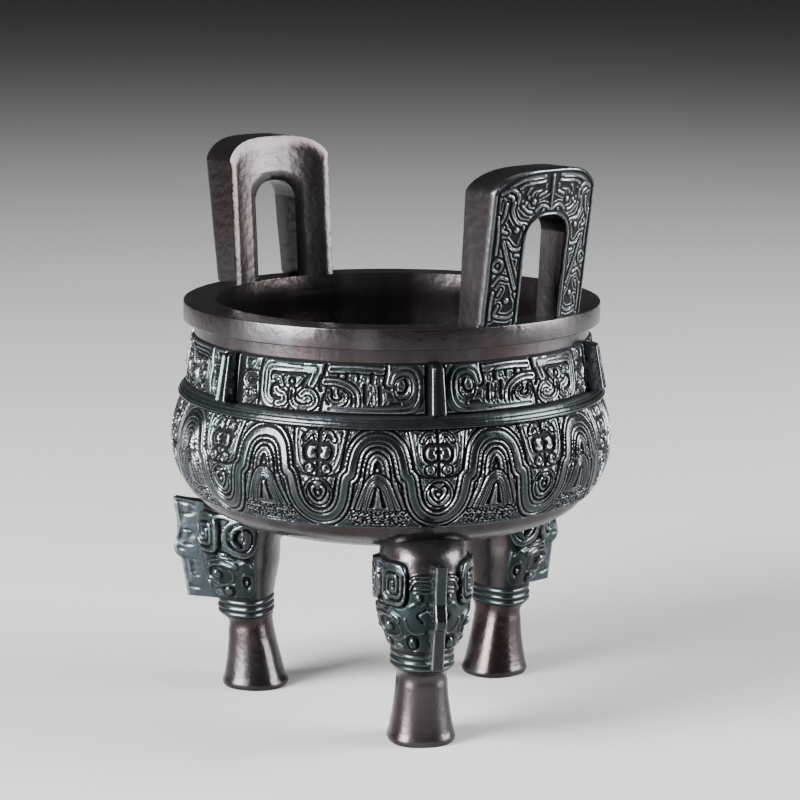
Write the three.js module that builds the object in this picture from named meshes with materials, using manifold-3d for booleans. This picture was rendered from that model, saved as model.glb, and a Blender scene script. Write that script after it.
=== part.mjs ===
// A cast bronze tripod vessel with two upright ears: a round hollow bowl under a thick flat rim,
// on three legs with animal masks. Millimetres, +Z up, standing on the plane z = 0. The group's
// origin is the middle of the base of the box around the vessel. +X points through one ear and
// one of the three legs stands towards +Y.
import * as THREE from "three";
import { mergeVertices } from "three/addons/utils/BufferGeometryUtils.js";
import Module from "manifold-3d";

// Heights of the vessel's zones, from the ground up
const legHeight = 66.5;
const bellyHeight = 28.8;
const stringBandHeight = 3.6;
const neckHeight = 14.4;
const collarHeight = 4.1;
const rimThickness = 5.9;
const earHeight = 43.9;

// Radii of the bowl
const rimRadius = 62;
const mouthRadius = 52.4;
const neckTopRadius = 59.6;
const collarStep = 0.8;
const neckFootRadius = 61.6;
const stringBandRadius = 64;
const bellyTopRadius = 62.6;
const bellyRadius = 66.2;
const bellyFootRadius = 60.3;
const undersideRadius = 58.6;
const undersideDepth = 13.5;
const wallThickness = 4.5;
const neckWallThickness = 5.8;

// Carving of the bowl
const reliefHeight = 0.9;
const waveCount = 12;
const waveBandWidth = 4.3;
const flangeCount = 6;
const neckFlangeReach = 4.3;
const neckFlangeThickness = 3.8;

// Legs
const legCount = 3;
const legCircleRadius = 44;
const footRadius = 10.1;
const ankleRadius = 7.6;
const kneeRadius = 9;
const hipHalfWidth = 13.2;
const hipReach = 17.4;
const legFlangeReach = 26.8;
const legFlangeThickness = 3.7;
const maskRelief = 1.5;

// Ears
const earHalfWidth = 19.6;
const earThickness = 8.9;
const earOuterLean = 0.135;
const earInnerLean = 0.06;
const earShoulderDrop = 6.4;
const earOpeningHalfWidth = 7.9;
const earOpeningHeight = 30.4;
const earRelief = 0.5;

// Fineness of the facets
const bowlSides = 36;
const legSides = 12;
const embedding = 1.6;
const bevelShare = 0.4;
const padTopShare = 0.86;

const bellyFoot = legHeight;
const bellyTop = bellyFoot + bellyHeight;
const neckFoot = bellyTop + stringBandHeight;
const neckTop = neckFoot + neckHeight;
const rimFoot = neckTop + collarHeight;
const rimTop = rimFoot + rimThickness;
const bellyWidest = bellyFoot + bellyHeight * 0.54;
const collarRadius = neckTopRadius - collarStep;

// Where the carving starts: a flange stands above each leg, and a trough under each flange
const firstLeg = 90;
const flangeStep = 360 / flangeCount;
const waveStart = firstLeg - 180 / waveCount;

const wasm = await Module();
wasm.setup();

// A solid from triangles over shared points, turned to face outwards.
function solidFrom(points, faces) {
  const cross = new THREE.Vector3();
  let volume = 0;
  for (const [a, b, c] of faces) volume += points[a].dot(cross.crossVectors(points[b], points[c]));
  const outward = faces.map(([a, b, c]) => (volume < 0 ? [a, c, b] : [a, b, c]));
  const vertProperties = new Float32Array(points.flatMap((p) => [p.x, p.y, p.z]));
  const triVerts = new Uint32Array(outward.flat());
  return new wasm.Manifold(new wasm.Mesh({ numProp: 3, vertProperties, triVerts }));
}

// A solid from a three.js geometry, without the faces that shrink to a line on its axis.
function solidOfGeometry(geometry) {
  geometry.deleteAttribute("normal");
  geometry.deleteAttribute("uv");
  const merged = mergeVertices(geometry, 1e-3);
  const place = merged.attributes.position;
  const points = [];
  for (let i = 0; i < place.count; i++) points.push(new THREE.Vector3().fromBufferAttribute(place, i));
  const faces = [];
  for (let i = 0; i < merged.index.count; i += 3) {
    const [a, b, c] = merged.index.array.slice(i, i + 3);
    if (a !== b && b !== c && c !== a) faces.push([a, b, c]);
  }
  return solidFrom(points, faces);
}

// The turned solid of a profile of radius and height pairs.
function lathed(profile) {
  const points = profile.map(([r, z]) => new THREE.Vector2(r, z));
  return solidOfGeometry(new THREE.LatheGeometry(points, bowlSides).rotateX(Math.PI / 2));
}

// A closed skin over sections with as many points each: open with flat ends, or joined in a ring.
function skin(sections, joined = false) {
  const along = sections.length;
  const around = sections[0].length;
  const index = (i, j) => (i % along) * around + (j % around);
  const faces = [];
  for (let i = 0; i < (joined ? along : along - 1); i++)
    for (let j = 0; j < around; j++) {
      faces.push([index(i, j), index(i + 1, j), index(i + 1, j + 1)]);
      faces.push([index(i, j), index(i + 1, j + 1), index(i, j + 1)]);
    }
  for (let j = 1; j < around - 1 && !joined; j++) {
    faces.push([index(0, 0), index(0, j), index(0, j + 1)]);
    faces.push([index(along - 1, 0), index(along - 1, j + 1), index(along - 1, j)]);
  }
  return solidFrom(sections.flat(), faces);
}

// A raised strip along a path on a surface; place(u, v, h) is the point h above the surface.
function strip(path, width, height, place) {
  const last = path.length - 1;
  const sections = path.map(([u, v], i) => {
    const before = path[Math.max(i - 1, 0)];
    const after = path[Math.min(i + 1, last)];
    const across = new THREE.Vector2(before[1] - after[1], after[0] - before[0]).normalize();
    const at = (side, h) => place(u + across.x * side, v + across.y * side, h);
    const foot = width / 2;
    const crown = foot - height * bevelShare;
    return [at(-foot, -embedding), at(-crown, height), at(crown, height), at(foot, -embedding)];
  });
  return skin(sections);
}

// A raised pad with a convex outline on a surface, drawn in a little towards its top.
function pad(outline, height, place) {
  const mean = (k) => outline.reduce((sum, p) => sum + p[k], 0) / outline.length;
  const [cu, cv] = [mean(0), mean(1)];
  const drawn = (share) => outline.map(([u, v]) => [cu + (u - cu) * share, cv + (v - cv) * share]);
  const ring = (share, h) => drawn(share).map(([u, v]) => place(u, v, h));
  return skin([ring(1, -embedding), ring(padTopShare, height)]);
}

// Points of an oval, used for bosses and scrolls.
function oval(cu, cv, halfU, halfV, sides) {
  return Array.from({ length: sides }, (_, i) => {
    const turn = ((i + 0.5) / sides) * 2 * Math.PI;
    return [cu + halfU * Math.cos(turn), cv + halfV * Math.sin(turn)];
  });
}

// Joins a list of solids into one.
function joinAll(solids) {
  return solids.reduce((whole, piece) => whole.add(piece));
}

// Turns a solid by an angle about the vessel's axis.
function turned(solid, degrees) {
  return solid.rotate([0, 0, degrees]);
}

// Outer radius of the smooth belly at a height: two curves that meet at the widest place.
function bellyRadiusAt(z) {
  if (z > bellyWidest) {
    const rise = (z - bellyWidest) / (bellyTop - bellyWidest);
    return bellyRadius - (bellyRadius - bellyTopRadius) * rise ** 2;
  }
  const fall = Math.min((bellyWidest - z) / (bellyWidest - bellyFoot), 1);
  return bellyRadius - (bellyRadius - bellyFootRadius) * fall ** 2.2;
}

function neckRadiusAt(z) {
  return THREE.MathUtils.mapLinear(z, neckFoot, neckTop, neckFootRadius, neckTopRadius);
}

// A point on a wall of revolution: x millimetres round from the angle start, at height z, h above it.
function onWall(radiusAt, start) {
  return (x, z, h) => {
    const radius = radiusAt(z) + h;
    const angle = THREE.MathUtils.degToRad(start) + x / bellyRadius;
    return new THREE.Vector3(radius * Math.cos(angle), radius * Math.sin(angle), z);
  };
}

// The plain turned body, from the middle of its underside out and up to the mouth, solid inside.
function bowlOutside() {
  const inset = reliefHeight + 1;
  const dishSteps = 4;
  const profile = [[0, bellyFoot - undersideDepth]];
  for (let i = 1; i <= dishSteps; i++) {
    const turn = (i / dishSteps) * (Math.PI / 2);
    profile.push([undersideRadius * Math.sin(turn), bellyFoot - undersideDepth * Math.cos(turn)]);
  }
  profile.push([bellyFootRadius - inset, bellyFoot + 1]);
  profile.push([bellyRadius - 2 * inset, bellyWidest]);
  profile.push([bellyTopRadius - inset, bellyTop - 1]);
  profile.push([bellyTopRadius - reliefHeight, bellyTop]);
  profile.push([stringBandRadius, bellyTop + stringBandHeight * 0.12]);
  profile.push([stringBandRadius, neckFoot - stringBandHeight * 0.3]);
  profile.push([neckFootRadius - reliefHeight, neckFoot]);
  profile.push([neckTopRadius - reliefHeight, neckTop]);
  profile.push([collarRadius, neckTop], [collarRadius, rimFoot]);
  profile.push([rimRadius, rimFoot], [rimRadius, rimTop], [0, rimTop]);
  return lathed(profile);
}

// The hollow of the bowl, a little taller than the mouth so that it cuts through it.
function bowlHollow() {
  const profile = [];
  const dishSteps = 3;
  const floor = bellyFoot - undersideDepth + wallThickness;
  const innerFoot = bellyFoot + wallThickness * 0.6;
  const innerRadius = undersideRadius - wallThickness;
  const carvedWall = wallThickness + reliefHeight;
  const above = rimTop + 2;
  for (let i = 0; i <= dishSteps; i++) {
    const turn = (i / dishSteps) * (Math.PI / 2);
    profile.push([innerRadius * Math.sin(turn), innerFoot - (innerFoot - floor) * Math.cos(turn)]);
  }
  profile.push([bellyRadius - carvedWall, bellyWidest]);
  profile.push([bellyTopRadius - carvedWall, bellyTop]);
  profile.push([neckFootRadius - neckWallThickness, neckFoot]);
  profile.push([neckTopRadius - neckWallThickness, neckTop]);
  profile.push([mouthRadius, rimFoot], [mouthRadius, above], [0, above]);
  return lathed(profile);
}

// Half of one wave, from the top of its crest to the bottom of its trough, as shares of half the
// wave's length and of its height.
const waveHalf = [[0, 1], [0.33, 0.87], [0.49, 0.56], [0.71, 0.14], [1, 0]];

// The middle line of the wave band, all the way round: millimetres round the belly, and height.
function wavePath() {
  const halfWave = (Math.PI * bellyRadius) / waveCount;
  const inset = waveBandWidth * 0.62;
  const at = (halves, share) => [halves * halfWave, bellyFoot + inset + (bellyHeight - 2 * inset) * share];
  const path = [];
  for (let i = 0; i < waveCount; i++) {
    for (const [a, b] of waveHalf.slice(0, -1)) path.push(at(2 * i + a, b));
    for (const [a, b] of waveHalf.slice(1).reverse()) path.push(at(2 * i + 2 - a, b));
  }
  return path;
}

// The belt round the belly: its face steps up onto a band that runs round it in high waves.
function belly() {
  const path = wavePath();
  const place = onWall(bellyRadiusAt, waveStart);
  const round = 2 * Math.PI * bellyRadius;
  const backing = reliefHeight + 2;
  const foot = waveBandWidth / 2;
  const crown = foot - reliefHeight * bevelShare;
  const sections = path.map(([u, v], i) => {
    const before = path[(i + path.length - 1) % path.length];
    const after = path[(i + 1) % path.length];
    const run = (after[0] - before[0] + round) % round;
    const across = new THREE.Vector2(before[1] - after[1], run).normalize();
    const at = (side, h) => place(u + across.x * side, v + across.y * side, h);
    const ground = (side, edge, share) => {
      const x = u + across.x * side * (1 - share);
      const z = THREE.MathUtils.lerp(v + across.y * side, edge, share);
      return place(x, z, -reliefHeight);
    };
    return [
      ground(-foot, bellyFoot, 1),
      ground(-foot, bellyFoot, 0.5),
      at(-foot, -reliefHeight),
      at(-crown, 0),
      at(crown, 0),
      at(foot, -reliefHeight),
      ground(foot, bellyTop, 0.5),
      ground(foot, bellyTop, 1),
      place(u, bellyTop, -backing),
      place(u, bellyFoot, -backing),
    ];
  });
  return skin(sections, true);
}

// The creatures between the waves: a pair of facing curls over an eye in each trough, and a
// tongue under an arch in each crest. Places are shares of half a wave and of the belly's height.
function bellyMotifs() {
  const half = (Math.PI * bellyRadius) / waveCount;
  const place = onWall((z) => bellyRadiusAt(z) - reliefHeight, waveStart);
  const wings = [[-0.43, 0.94], [-0.25, 0.5], [0.25, 0.5], [0.43, 0.94], [0, 0.72]];
  const tongue = [[-0.15, 0.22], [0.15, 0.22], [0.1, 0.73], [-0.1, 0.73]];
  const eye = oval(0, 0.33, 0.28, 0.13, 5);
  const motifs = [];
  for (let i = 0; i < waveCount; i++) {
    const motif = (outline, middle) => {
      const corners = outline.map(([u, v]) => [(2 * i + middle + u) * half, bellyFoot + bellyHeight * v]);
      motifs.push(pad(corners, reliefHeight, place));
    };
    motif(wings, 1);
    motif(eye, 1);
    motif(tongue, 0);
  }
  return motifs;
}

// One panel of the neck, from the flange with the creature's face to the flange with its tail.
// Places are shares of the panel's length and of the neck's height.
function neckPanel(start, way) {
  const place = onWall((z) => neckRadiusAt(z) - reliefHeight, start);
  const length = (2 * Math.PI * bellyRadius) / flangeCount;
  const at = ([share, v]) => [way * length * share, neckFoot + neckHeight * v];
  const raised = (corners, height = reliefHeight) => pad(corners.map(at), height, place);
  const faceBand = [[0.48, 0.86], [0.21, 0.86], [0.2, 0.14]];
  return [
    strip(faceBand.map(at), neckHeight * 0.19, reliefHeight, place),
    raised([[0.27, 0.68], [0.46, 0.68], [0.43, 0.44], [0.3, 0.44]]),
    raised(oval(0.42, 0.23, 0.052, 0.18, 5)),
    raised([[0.52, 0.96], [0.79, 0.96], [0.79, 0.78], [0.51, 0.78]]),
    raised(oval(0.6, 0.44, 0.058, 0.22, 5)),
    raised([[0.69, 0.7], [0.77, 0.7], [0.77, 0.26], [0.69, 0.26]]),
    raised(oval(0.875, 0.5, 0.076, 0.44, 6)),
    raised(oval(0.875, 0.48, 0.032, 0.19, 4), reliefHeight * 1.7),
  ];
}

// The flanges that stand out of the neck between its panels.
function neckFlange(angle) {
  const place = onWall(neckRadiusAt, angle);
  const inset = neckHeight * 0.015;
  const [low, high] = [neckFoot + inset, neckTop - inset];
  const root = -embedding - reliefHeight;
  const section = (x) => [
    place(x, low, root),
    place(x, low, neckFlangeReach),
    place(x, high, neckFlangeReach * 0.86),
    place(x, high, root),
  ];
  return skin([section(-neckFlangeThickness / 2), section(neckFlangeThickness / 2)]);
}

// Levels of a leg: height as a share of legHeight, reach to the vessel's axis and away from it,
// and half width.
const legLevels = [
  [0, footRadius, footRadius, footRadius],
  [0.15, ankleRadius * 0.95, ankleRadius * 1.13, ankleRadius * 1.09],
  [0.29, ankleRadius * 0.66, ankleRadius * 1.09, ankleRadius],
  [0.34, kneeRadius * 0.53, kneeRadius * 1.2, kneeRadius],
  [0.415, kneeRadius * 0.53, kneeRadius * 1.31, kneeRadius * 1.03],
  [0.48, kneeRadius * 0.59, hipReach * 0.8, hipHalfWidth * 0.82],
  [0.57, kneeRadius * 0.7, hipReach * 0.91, hipHalfWidth * 0.97],
  [0.69, kneeRadius * 0.78, hipReach * 0.97, hipHalfWidth],
  [0.81, kneeRadius * 0.98, hipReach, hipHalfWidth],
  [0.89, kneeRadius * 1.07, hipReach * 0.87, hipHalfWidth * 0.95],
  [0.97, kneeRadius * 1.11, hipReach * 0.46, hipHalfWidth * 0.76],
];

function legLevelAt(z) {
  const share = THREE.MathUtils.clamp(z / legHeight, 0, legLevels.at(-1)[0]);
  const i = Math.max(legLevels.findIndex((level) => level[0] >= share), 1);
  const [below, above] = [legLevels[i - 1], legLevels[i]];
  const part = (share - below[0]) / (above[0] - below[0]);
  return below.map((value, k) => THREE.MathUtils.lerp(value, above[k], part));
}

// A point h outside a leg that stands on +X, at an angle in degrees round it from its front.
function onLeg(angle, z, h) {
  const [, inward, outward, half] = legLevelAt(z);
  const turn = THREE.MathUtils.degToRad(angle);
  const bulge = 0.9;
  const rounded = (value) => Math.sign(value) * Math.abs(value) ** bulge;
  const reach = (Math.cos(turn) > 0 ? outward : inward) + h;
  const y = rounded(Math.sin(turn)) * (half + h);
  return new THREE.Vector3(legCircleRadius + rounded(Math.cos(turn)) * reach, y, z);
}

// The flange down the front of a leg, with a hooked tooth half way. Corners are shares of its
// reach and of the leg's height.
function legFlange() {
  const outline = [
    [0.4, 0.4], [0.817, 0.4], [0.895, 0.576], [0.97, 0.595], [0.996, 0.624],
    [0.945, 0.7], [1, 0.865], [0.62, 0.85], [0.4, 0.8],
  ];
  const place = ([reach, share]) => [legCircleRadius + legFlangeReach * reach, legHeight * share];
  const shape = new THREE.Shape(outline.map((corner) => new THREE.Vector2(...place(corner))));
  const plate = new THREE.ExtrudeGeometry(shape, { depth: legFlangeThickness, bevelEnabled: false });
  plate.translate(0, 0, -legFlangeThickness / 2).rotateX(Math.PI / 2);
  return solidOfGeometry(plate);
}

// One leg on +X, with its mask: double horn scrolls, eyes and nostrils beside the flange. Places
// are degrees round the leg and shares of its height, with half sizes alike.
function leg() {
  const sections = legLevels.map(([share]) =>
    Array.from({ length: legSides }, (_, i) => onLeg((i / legSides) * 360, share * legHeight, 0)),
  );
  const pieces = [skin(sections), legFlange()];
  const place = (angle, share, h) => onLeg(angle, share * legHeight, h);
  for (const side of [-1, 1]) {
    const raised = (angle, share, halfAngle, halfShare, sides, height) =>
      pieces.push(pad(oval(side * angle, share, halfAngle, halfShare, sides), height, place));
    raised(51, 0.745, 19, 0.098, 6, maskRelief);
    raised(98, 0.735, 26, 0.092, 7, maskRelief);
    raised(95, 0.73, 10, 0.04, 4, maskRelief * 1.3);
    raised(62, 0.553, 11, 0.032, 5, maskRelief * 1.2);
  }
  return joinAll(pieces);
}

// The crown of an ear or of its opening at a share t of its half width.
function arch(height, drop, t) {
  return height - drop * Math.abs(t) ** 3;
}

// A point of an ear on +X: y across, z up from the rim, h outside its outer face.
function onEar(y, z, h) {
  const radius = rimRadius - 0.2 + earOuterLean * z + h;
  return new THREE.Vector3(Math.sqrt(radius ** 2 - y ** 2), y, rimTop + z);
}

function inEar(y, z, h) {
  const radius = rimRadius - 0.2 - earThickness + earInnerLean * z + h;
  return new THREE.Vector3(Math.sqrt(radius ** 2 - y ** 2), y, rimTop + z);
}

// A curved slab that follows the rim, between two half widths and up to an arched top.
function earSlab(halfWidth, top, drop, proud, foot) {
  const steps = 6;
  const middle = top - drop;
  const sections = Array.from({ length: steps + 1 }, (_, i) => {
    const t = -Math.cos((i / steps) * Math.PI);
    const y = halfWidth * t;
    const crown = arch(top, drop, t);
    return [
      inEar(y, foot, -proud), inEar(y, middle, -proud), inEar(y, crown, -proud),
      onEar(y, crown, proud), onEar(y, middle, proud), onEar(y, foot, proud),
    ];
  });
  return skin(sections);
}

// One ear on +X, with its opening and the carving of its outer face: a border that runs over the
// arch, a stem in the middle and a row of scrolls down each side.
function ear() {
  const slab = earSlab(earHalfWidth, earHeight, earShoulderDrop, 0, -embedding);
  const clearance = earThickness * 0.7;
  const opening = earSlab(earOpeningHalfWidth, earOpeningHeight, earShoulderDrop * 0.9, clearance, 0.2);
  const border = earHalfWidth * 0.06;
  const half = earHalfWidth - border;
  const over = [-1, -0.8, 0, 0.8, 1].map((t) => [half * t, arch(earHeight - border, earShoulderDrop, t)]);
  const lines = [
    strip([[-half, 0.4], ...over, [half, 0.4]], border * 1.1, earRelief, onEar),
    strip([[0, earOpeningHeight + 1], [0, earHeight - 1]], border * 1.4, earRelief, onEar),
  ];
  const column = (earHalfWidth + earOpeningHalfWidth) / 2;
  const scroll = (y, share) => {
    const outline = oval(y, earHeight * share, earHalfWidth * 0.17, earHeight * 0.065, 4);
    lines.push(pad(outline, earRelief * 1.6, onEar));
  };
  for (const side of [-1, 1]) {
    scroll(side * column * 0.47, 0.81);
    scroll(side * column, 0.66);
    scroll(side * column, 0.15);
  }
  return joinAll([slab, ...lines]).subtract(opening);
}

const pieces = [bowlOutside(), belly(), ...bellyMotifs()];
for (let i = 0; i < flangeCount; i++) {
  const angle = firstLeg + i * flangeStep;
  pieces.push(neckFlange(angle));
  if (i % 2) pieces.push(...neckPanel(angle, 1), ...neckPanel(angle, -1));
}
for (let i = 0; i < legCount; i++) pieces.push(turned(leg(), firstLeg + (i * 360) / legCount));
for (const angle of [0, 180]) pieces.push(turned(ear(), angle));
const cast = joinAll(pieces).subtract(bowlHollow());

// The finished solid as a mesh geometry.
function geometryOf(solid) {
  const mesh = solid.getMesh();
  const geometry = new THREE.BufferGeometry();
  geometry.setAttribute("position", new THREE.BufferAttribute(mesh.vertProperties, mesh.numProp));
  geometry.setIndex(new THREE.BufferAttribute(mesh.triVerts, 1));
  geometry.computeVertexNormals();
  return geometry;
}

const bronze = new THREE.MeshStandardMaterial({ color: 0x3b3538, roughness: 0.38, metalness: 0.9 });
const vessel = new THREE.Mesh(geometryOf(cast), bronze);
vessel.name = "ding_vessel";
const box = new THREE.Box3().setFromObject(vessel);
const middle = box.getCenter(new THREE.Vector3());
vessel.position.set(-middle.x, -middle.y, -box.min.z);

const part = new THREE.Group();
part.add(vessel);
export default part;
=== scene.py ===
"""The looks of a cast bronze tripod vessel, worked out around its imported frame.

The casting is one solid. Its skin is modelled here in closed pieces that overlap inside the metal: the
turned shell, the carved neck and belly bands, the flanges, three mask legs and two ears. Sizes are in
millimetres and turned into metres when a mesh is made.
"""

import logging
import math
from dataclasses import dataclass, field
from enum import Enum

import bpy
import numpy as np
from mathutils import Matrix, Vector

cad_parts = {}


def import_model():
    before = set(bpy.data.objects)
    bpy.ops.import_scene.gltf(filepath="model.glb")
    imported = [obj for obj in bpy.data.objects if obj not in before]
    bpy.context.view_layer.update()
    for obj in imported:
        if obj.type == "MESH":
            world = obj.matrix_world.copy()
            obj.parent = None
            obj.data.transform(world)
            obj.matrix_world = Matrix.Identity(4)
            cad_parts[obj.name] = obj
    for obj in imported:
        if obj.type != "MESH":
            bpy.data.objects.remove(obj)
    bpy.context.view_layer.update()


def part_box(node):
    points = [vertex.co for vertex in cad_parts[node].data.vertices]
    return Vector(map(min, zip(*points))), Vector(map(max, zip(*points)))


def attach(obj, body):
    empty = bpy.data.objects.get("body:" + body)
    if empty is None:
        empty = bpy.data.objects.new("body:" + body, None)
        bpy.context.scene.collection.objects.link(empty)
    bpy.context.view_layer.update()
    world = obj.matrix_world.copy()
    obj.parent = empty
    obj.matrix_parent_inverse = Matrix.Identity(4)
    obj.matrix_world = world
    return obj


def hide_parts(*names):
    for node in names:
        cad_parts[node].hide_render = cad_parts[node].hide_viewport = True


LOG = logging.getLogger("ding")
MM = 0.001
NODE = "ding_vessel"
SEED = 7

Array = np.ndarray
Points = list[tuple[float, float]]
Socket = bpy.types.NodeSocket
Triple = tuple[float, float, float]


class Zone(Enum):
    """Where a surface belongs: polished plain metal, or carved and darkened metal."""

    PLAIN = 0.0
    CARVED = 1.0


# Curves and small helpers


def smooth_path(points: Points, closed: bool = False, steps: int = 6) -> Array:
    """A smooth curve through points: a cubic between each two, whose slopes follow their neighbours.

    Args:
        points: The places that the curve passes through.
        closed: Whether the last point joins the first.
        steps: Points made for each stretch.

    Returns:
        An array of places along the curve.
    """
    p = np.asarray(points, float)
    if len(p) < 3:
        return p
    if closed:
        ring = np.vstack([p[-1], p, p[0], p[1]])
    else:
        ring = np.vstack([2 * p[0] - p[1], p, 2 * p[-1] - p[-2]])
    a, b, c, d = ring[:-3], ring[1:-2], ring[2:-1], ring[3:]
    t = (np.arange(steps) / steps)[:, None, None]
    cubic = 2 * b + (c - a) * t + (2 * a - 5 * b + 4 * c - d) * t**2 + (3 * b - a - 3 * c + d) * t**3
    places = (0.5 * cubic).transpose(1, 0, 2).reshape(-1, 2)
    return np.vstack([places, p[0] if closed else p[-1]])


def arc(centre: tuple[float, float], radii: tuple[float, float], start: float, end: float) -> Points:
    """Points of an oval arc between two angles in degrees, counted from the right, anticlockwise."""
    turn = np.radians(np.linspace(start, end, max(4, int(abs(end - start) / 24))))
    places = np.stack([centre[0] + radii[0] * np.cos(turn), centre[1] + radii[1] * np.sin(turn)], -1)
    return [tuple(p) for p in places]


def ramp(x: Array) -> Array:
    """The smooth step of x between 0 and 1."""
    t = np.clip(x, 0, 1)
    return t * t * (3 - 2 * t)


def through(x: Array, places: list[float], values: list[float]) -> Array:
    """A smooth curve through values at places: cubics whose slopes are the mean slope on both sides.

    Args:
        x: Where the curve is wanted.
        places: Rising places of the given values.
        values: The values there.

    Returns:
        The curve's values at x.
    """
    p, v = np.asarray(places, float), np.asarray(values, float)
    slope = np.gradient(v, p)
    i = np.clip(np.searchsorted(p, x) - 1, 0, len(p) - 2)
    step = p[i + 1] - p[i]
    t = np.clip((x - p[i]) / step, 0, 1)
    rise = v[i] * (2 * t**3 - 3 * t**2 + 1) + v[i + 1] * (3 * t**2 - 2 * t**3)
    return rise + step * (slope[i] * (t**3 - 2 * t**2 + t) + slope[i + 1] * (t**3 - t**2))


def blur(values: Array, cells: int) -> Array:
    """The mean of a field over a square window of 2 * cells + 1 cells each way."""
    width = 2 * cells + 1
    for axis in (0, 1):
        pad = [(0, 0), (0, 0)]
        pad[axis] = (cells + 1, cells)
        total = np.cumsum(np.pad(values, pad, mode="edge"), axis=axis)
        high = np.take(total, np.arange(width, total.shape[axis]), axis=axis)
        low = np.take(total, np.arange(0, total.shape[axis] - width), axis=axis)
        values = (high - low) / width
    return values


def unevenness(points: Array, size: float, depth: float, phase: float) -> Array:
    """Gentle waviness of a hand-finished casting: a sum of sines over the three directions.

    Args:
        points: Places in millimetres.
        size: Length of the waves in millimetres.
        depth: Their height in millimetres.
        phase: A number that makes each piece's waves its own.

    Returns:
        A height for each place.
    """
    k = 2 * math.pi / size
    x, y, z = points[..., 0], points[..., 1], points[..., 2]
    waves = np.sin(k * x + 1.7 * np.sin(k * 0.6 * z + phase)) + np.sin(k * 1.13 * y + phase)
    waves = waves + np.sin(k * 0.87 * z + 1.3 * np.sin(k * 0.5 * x + 2 * phase))
    return depth * waves / 3


# The flat sheet on which carving is drawn


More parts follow.
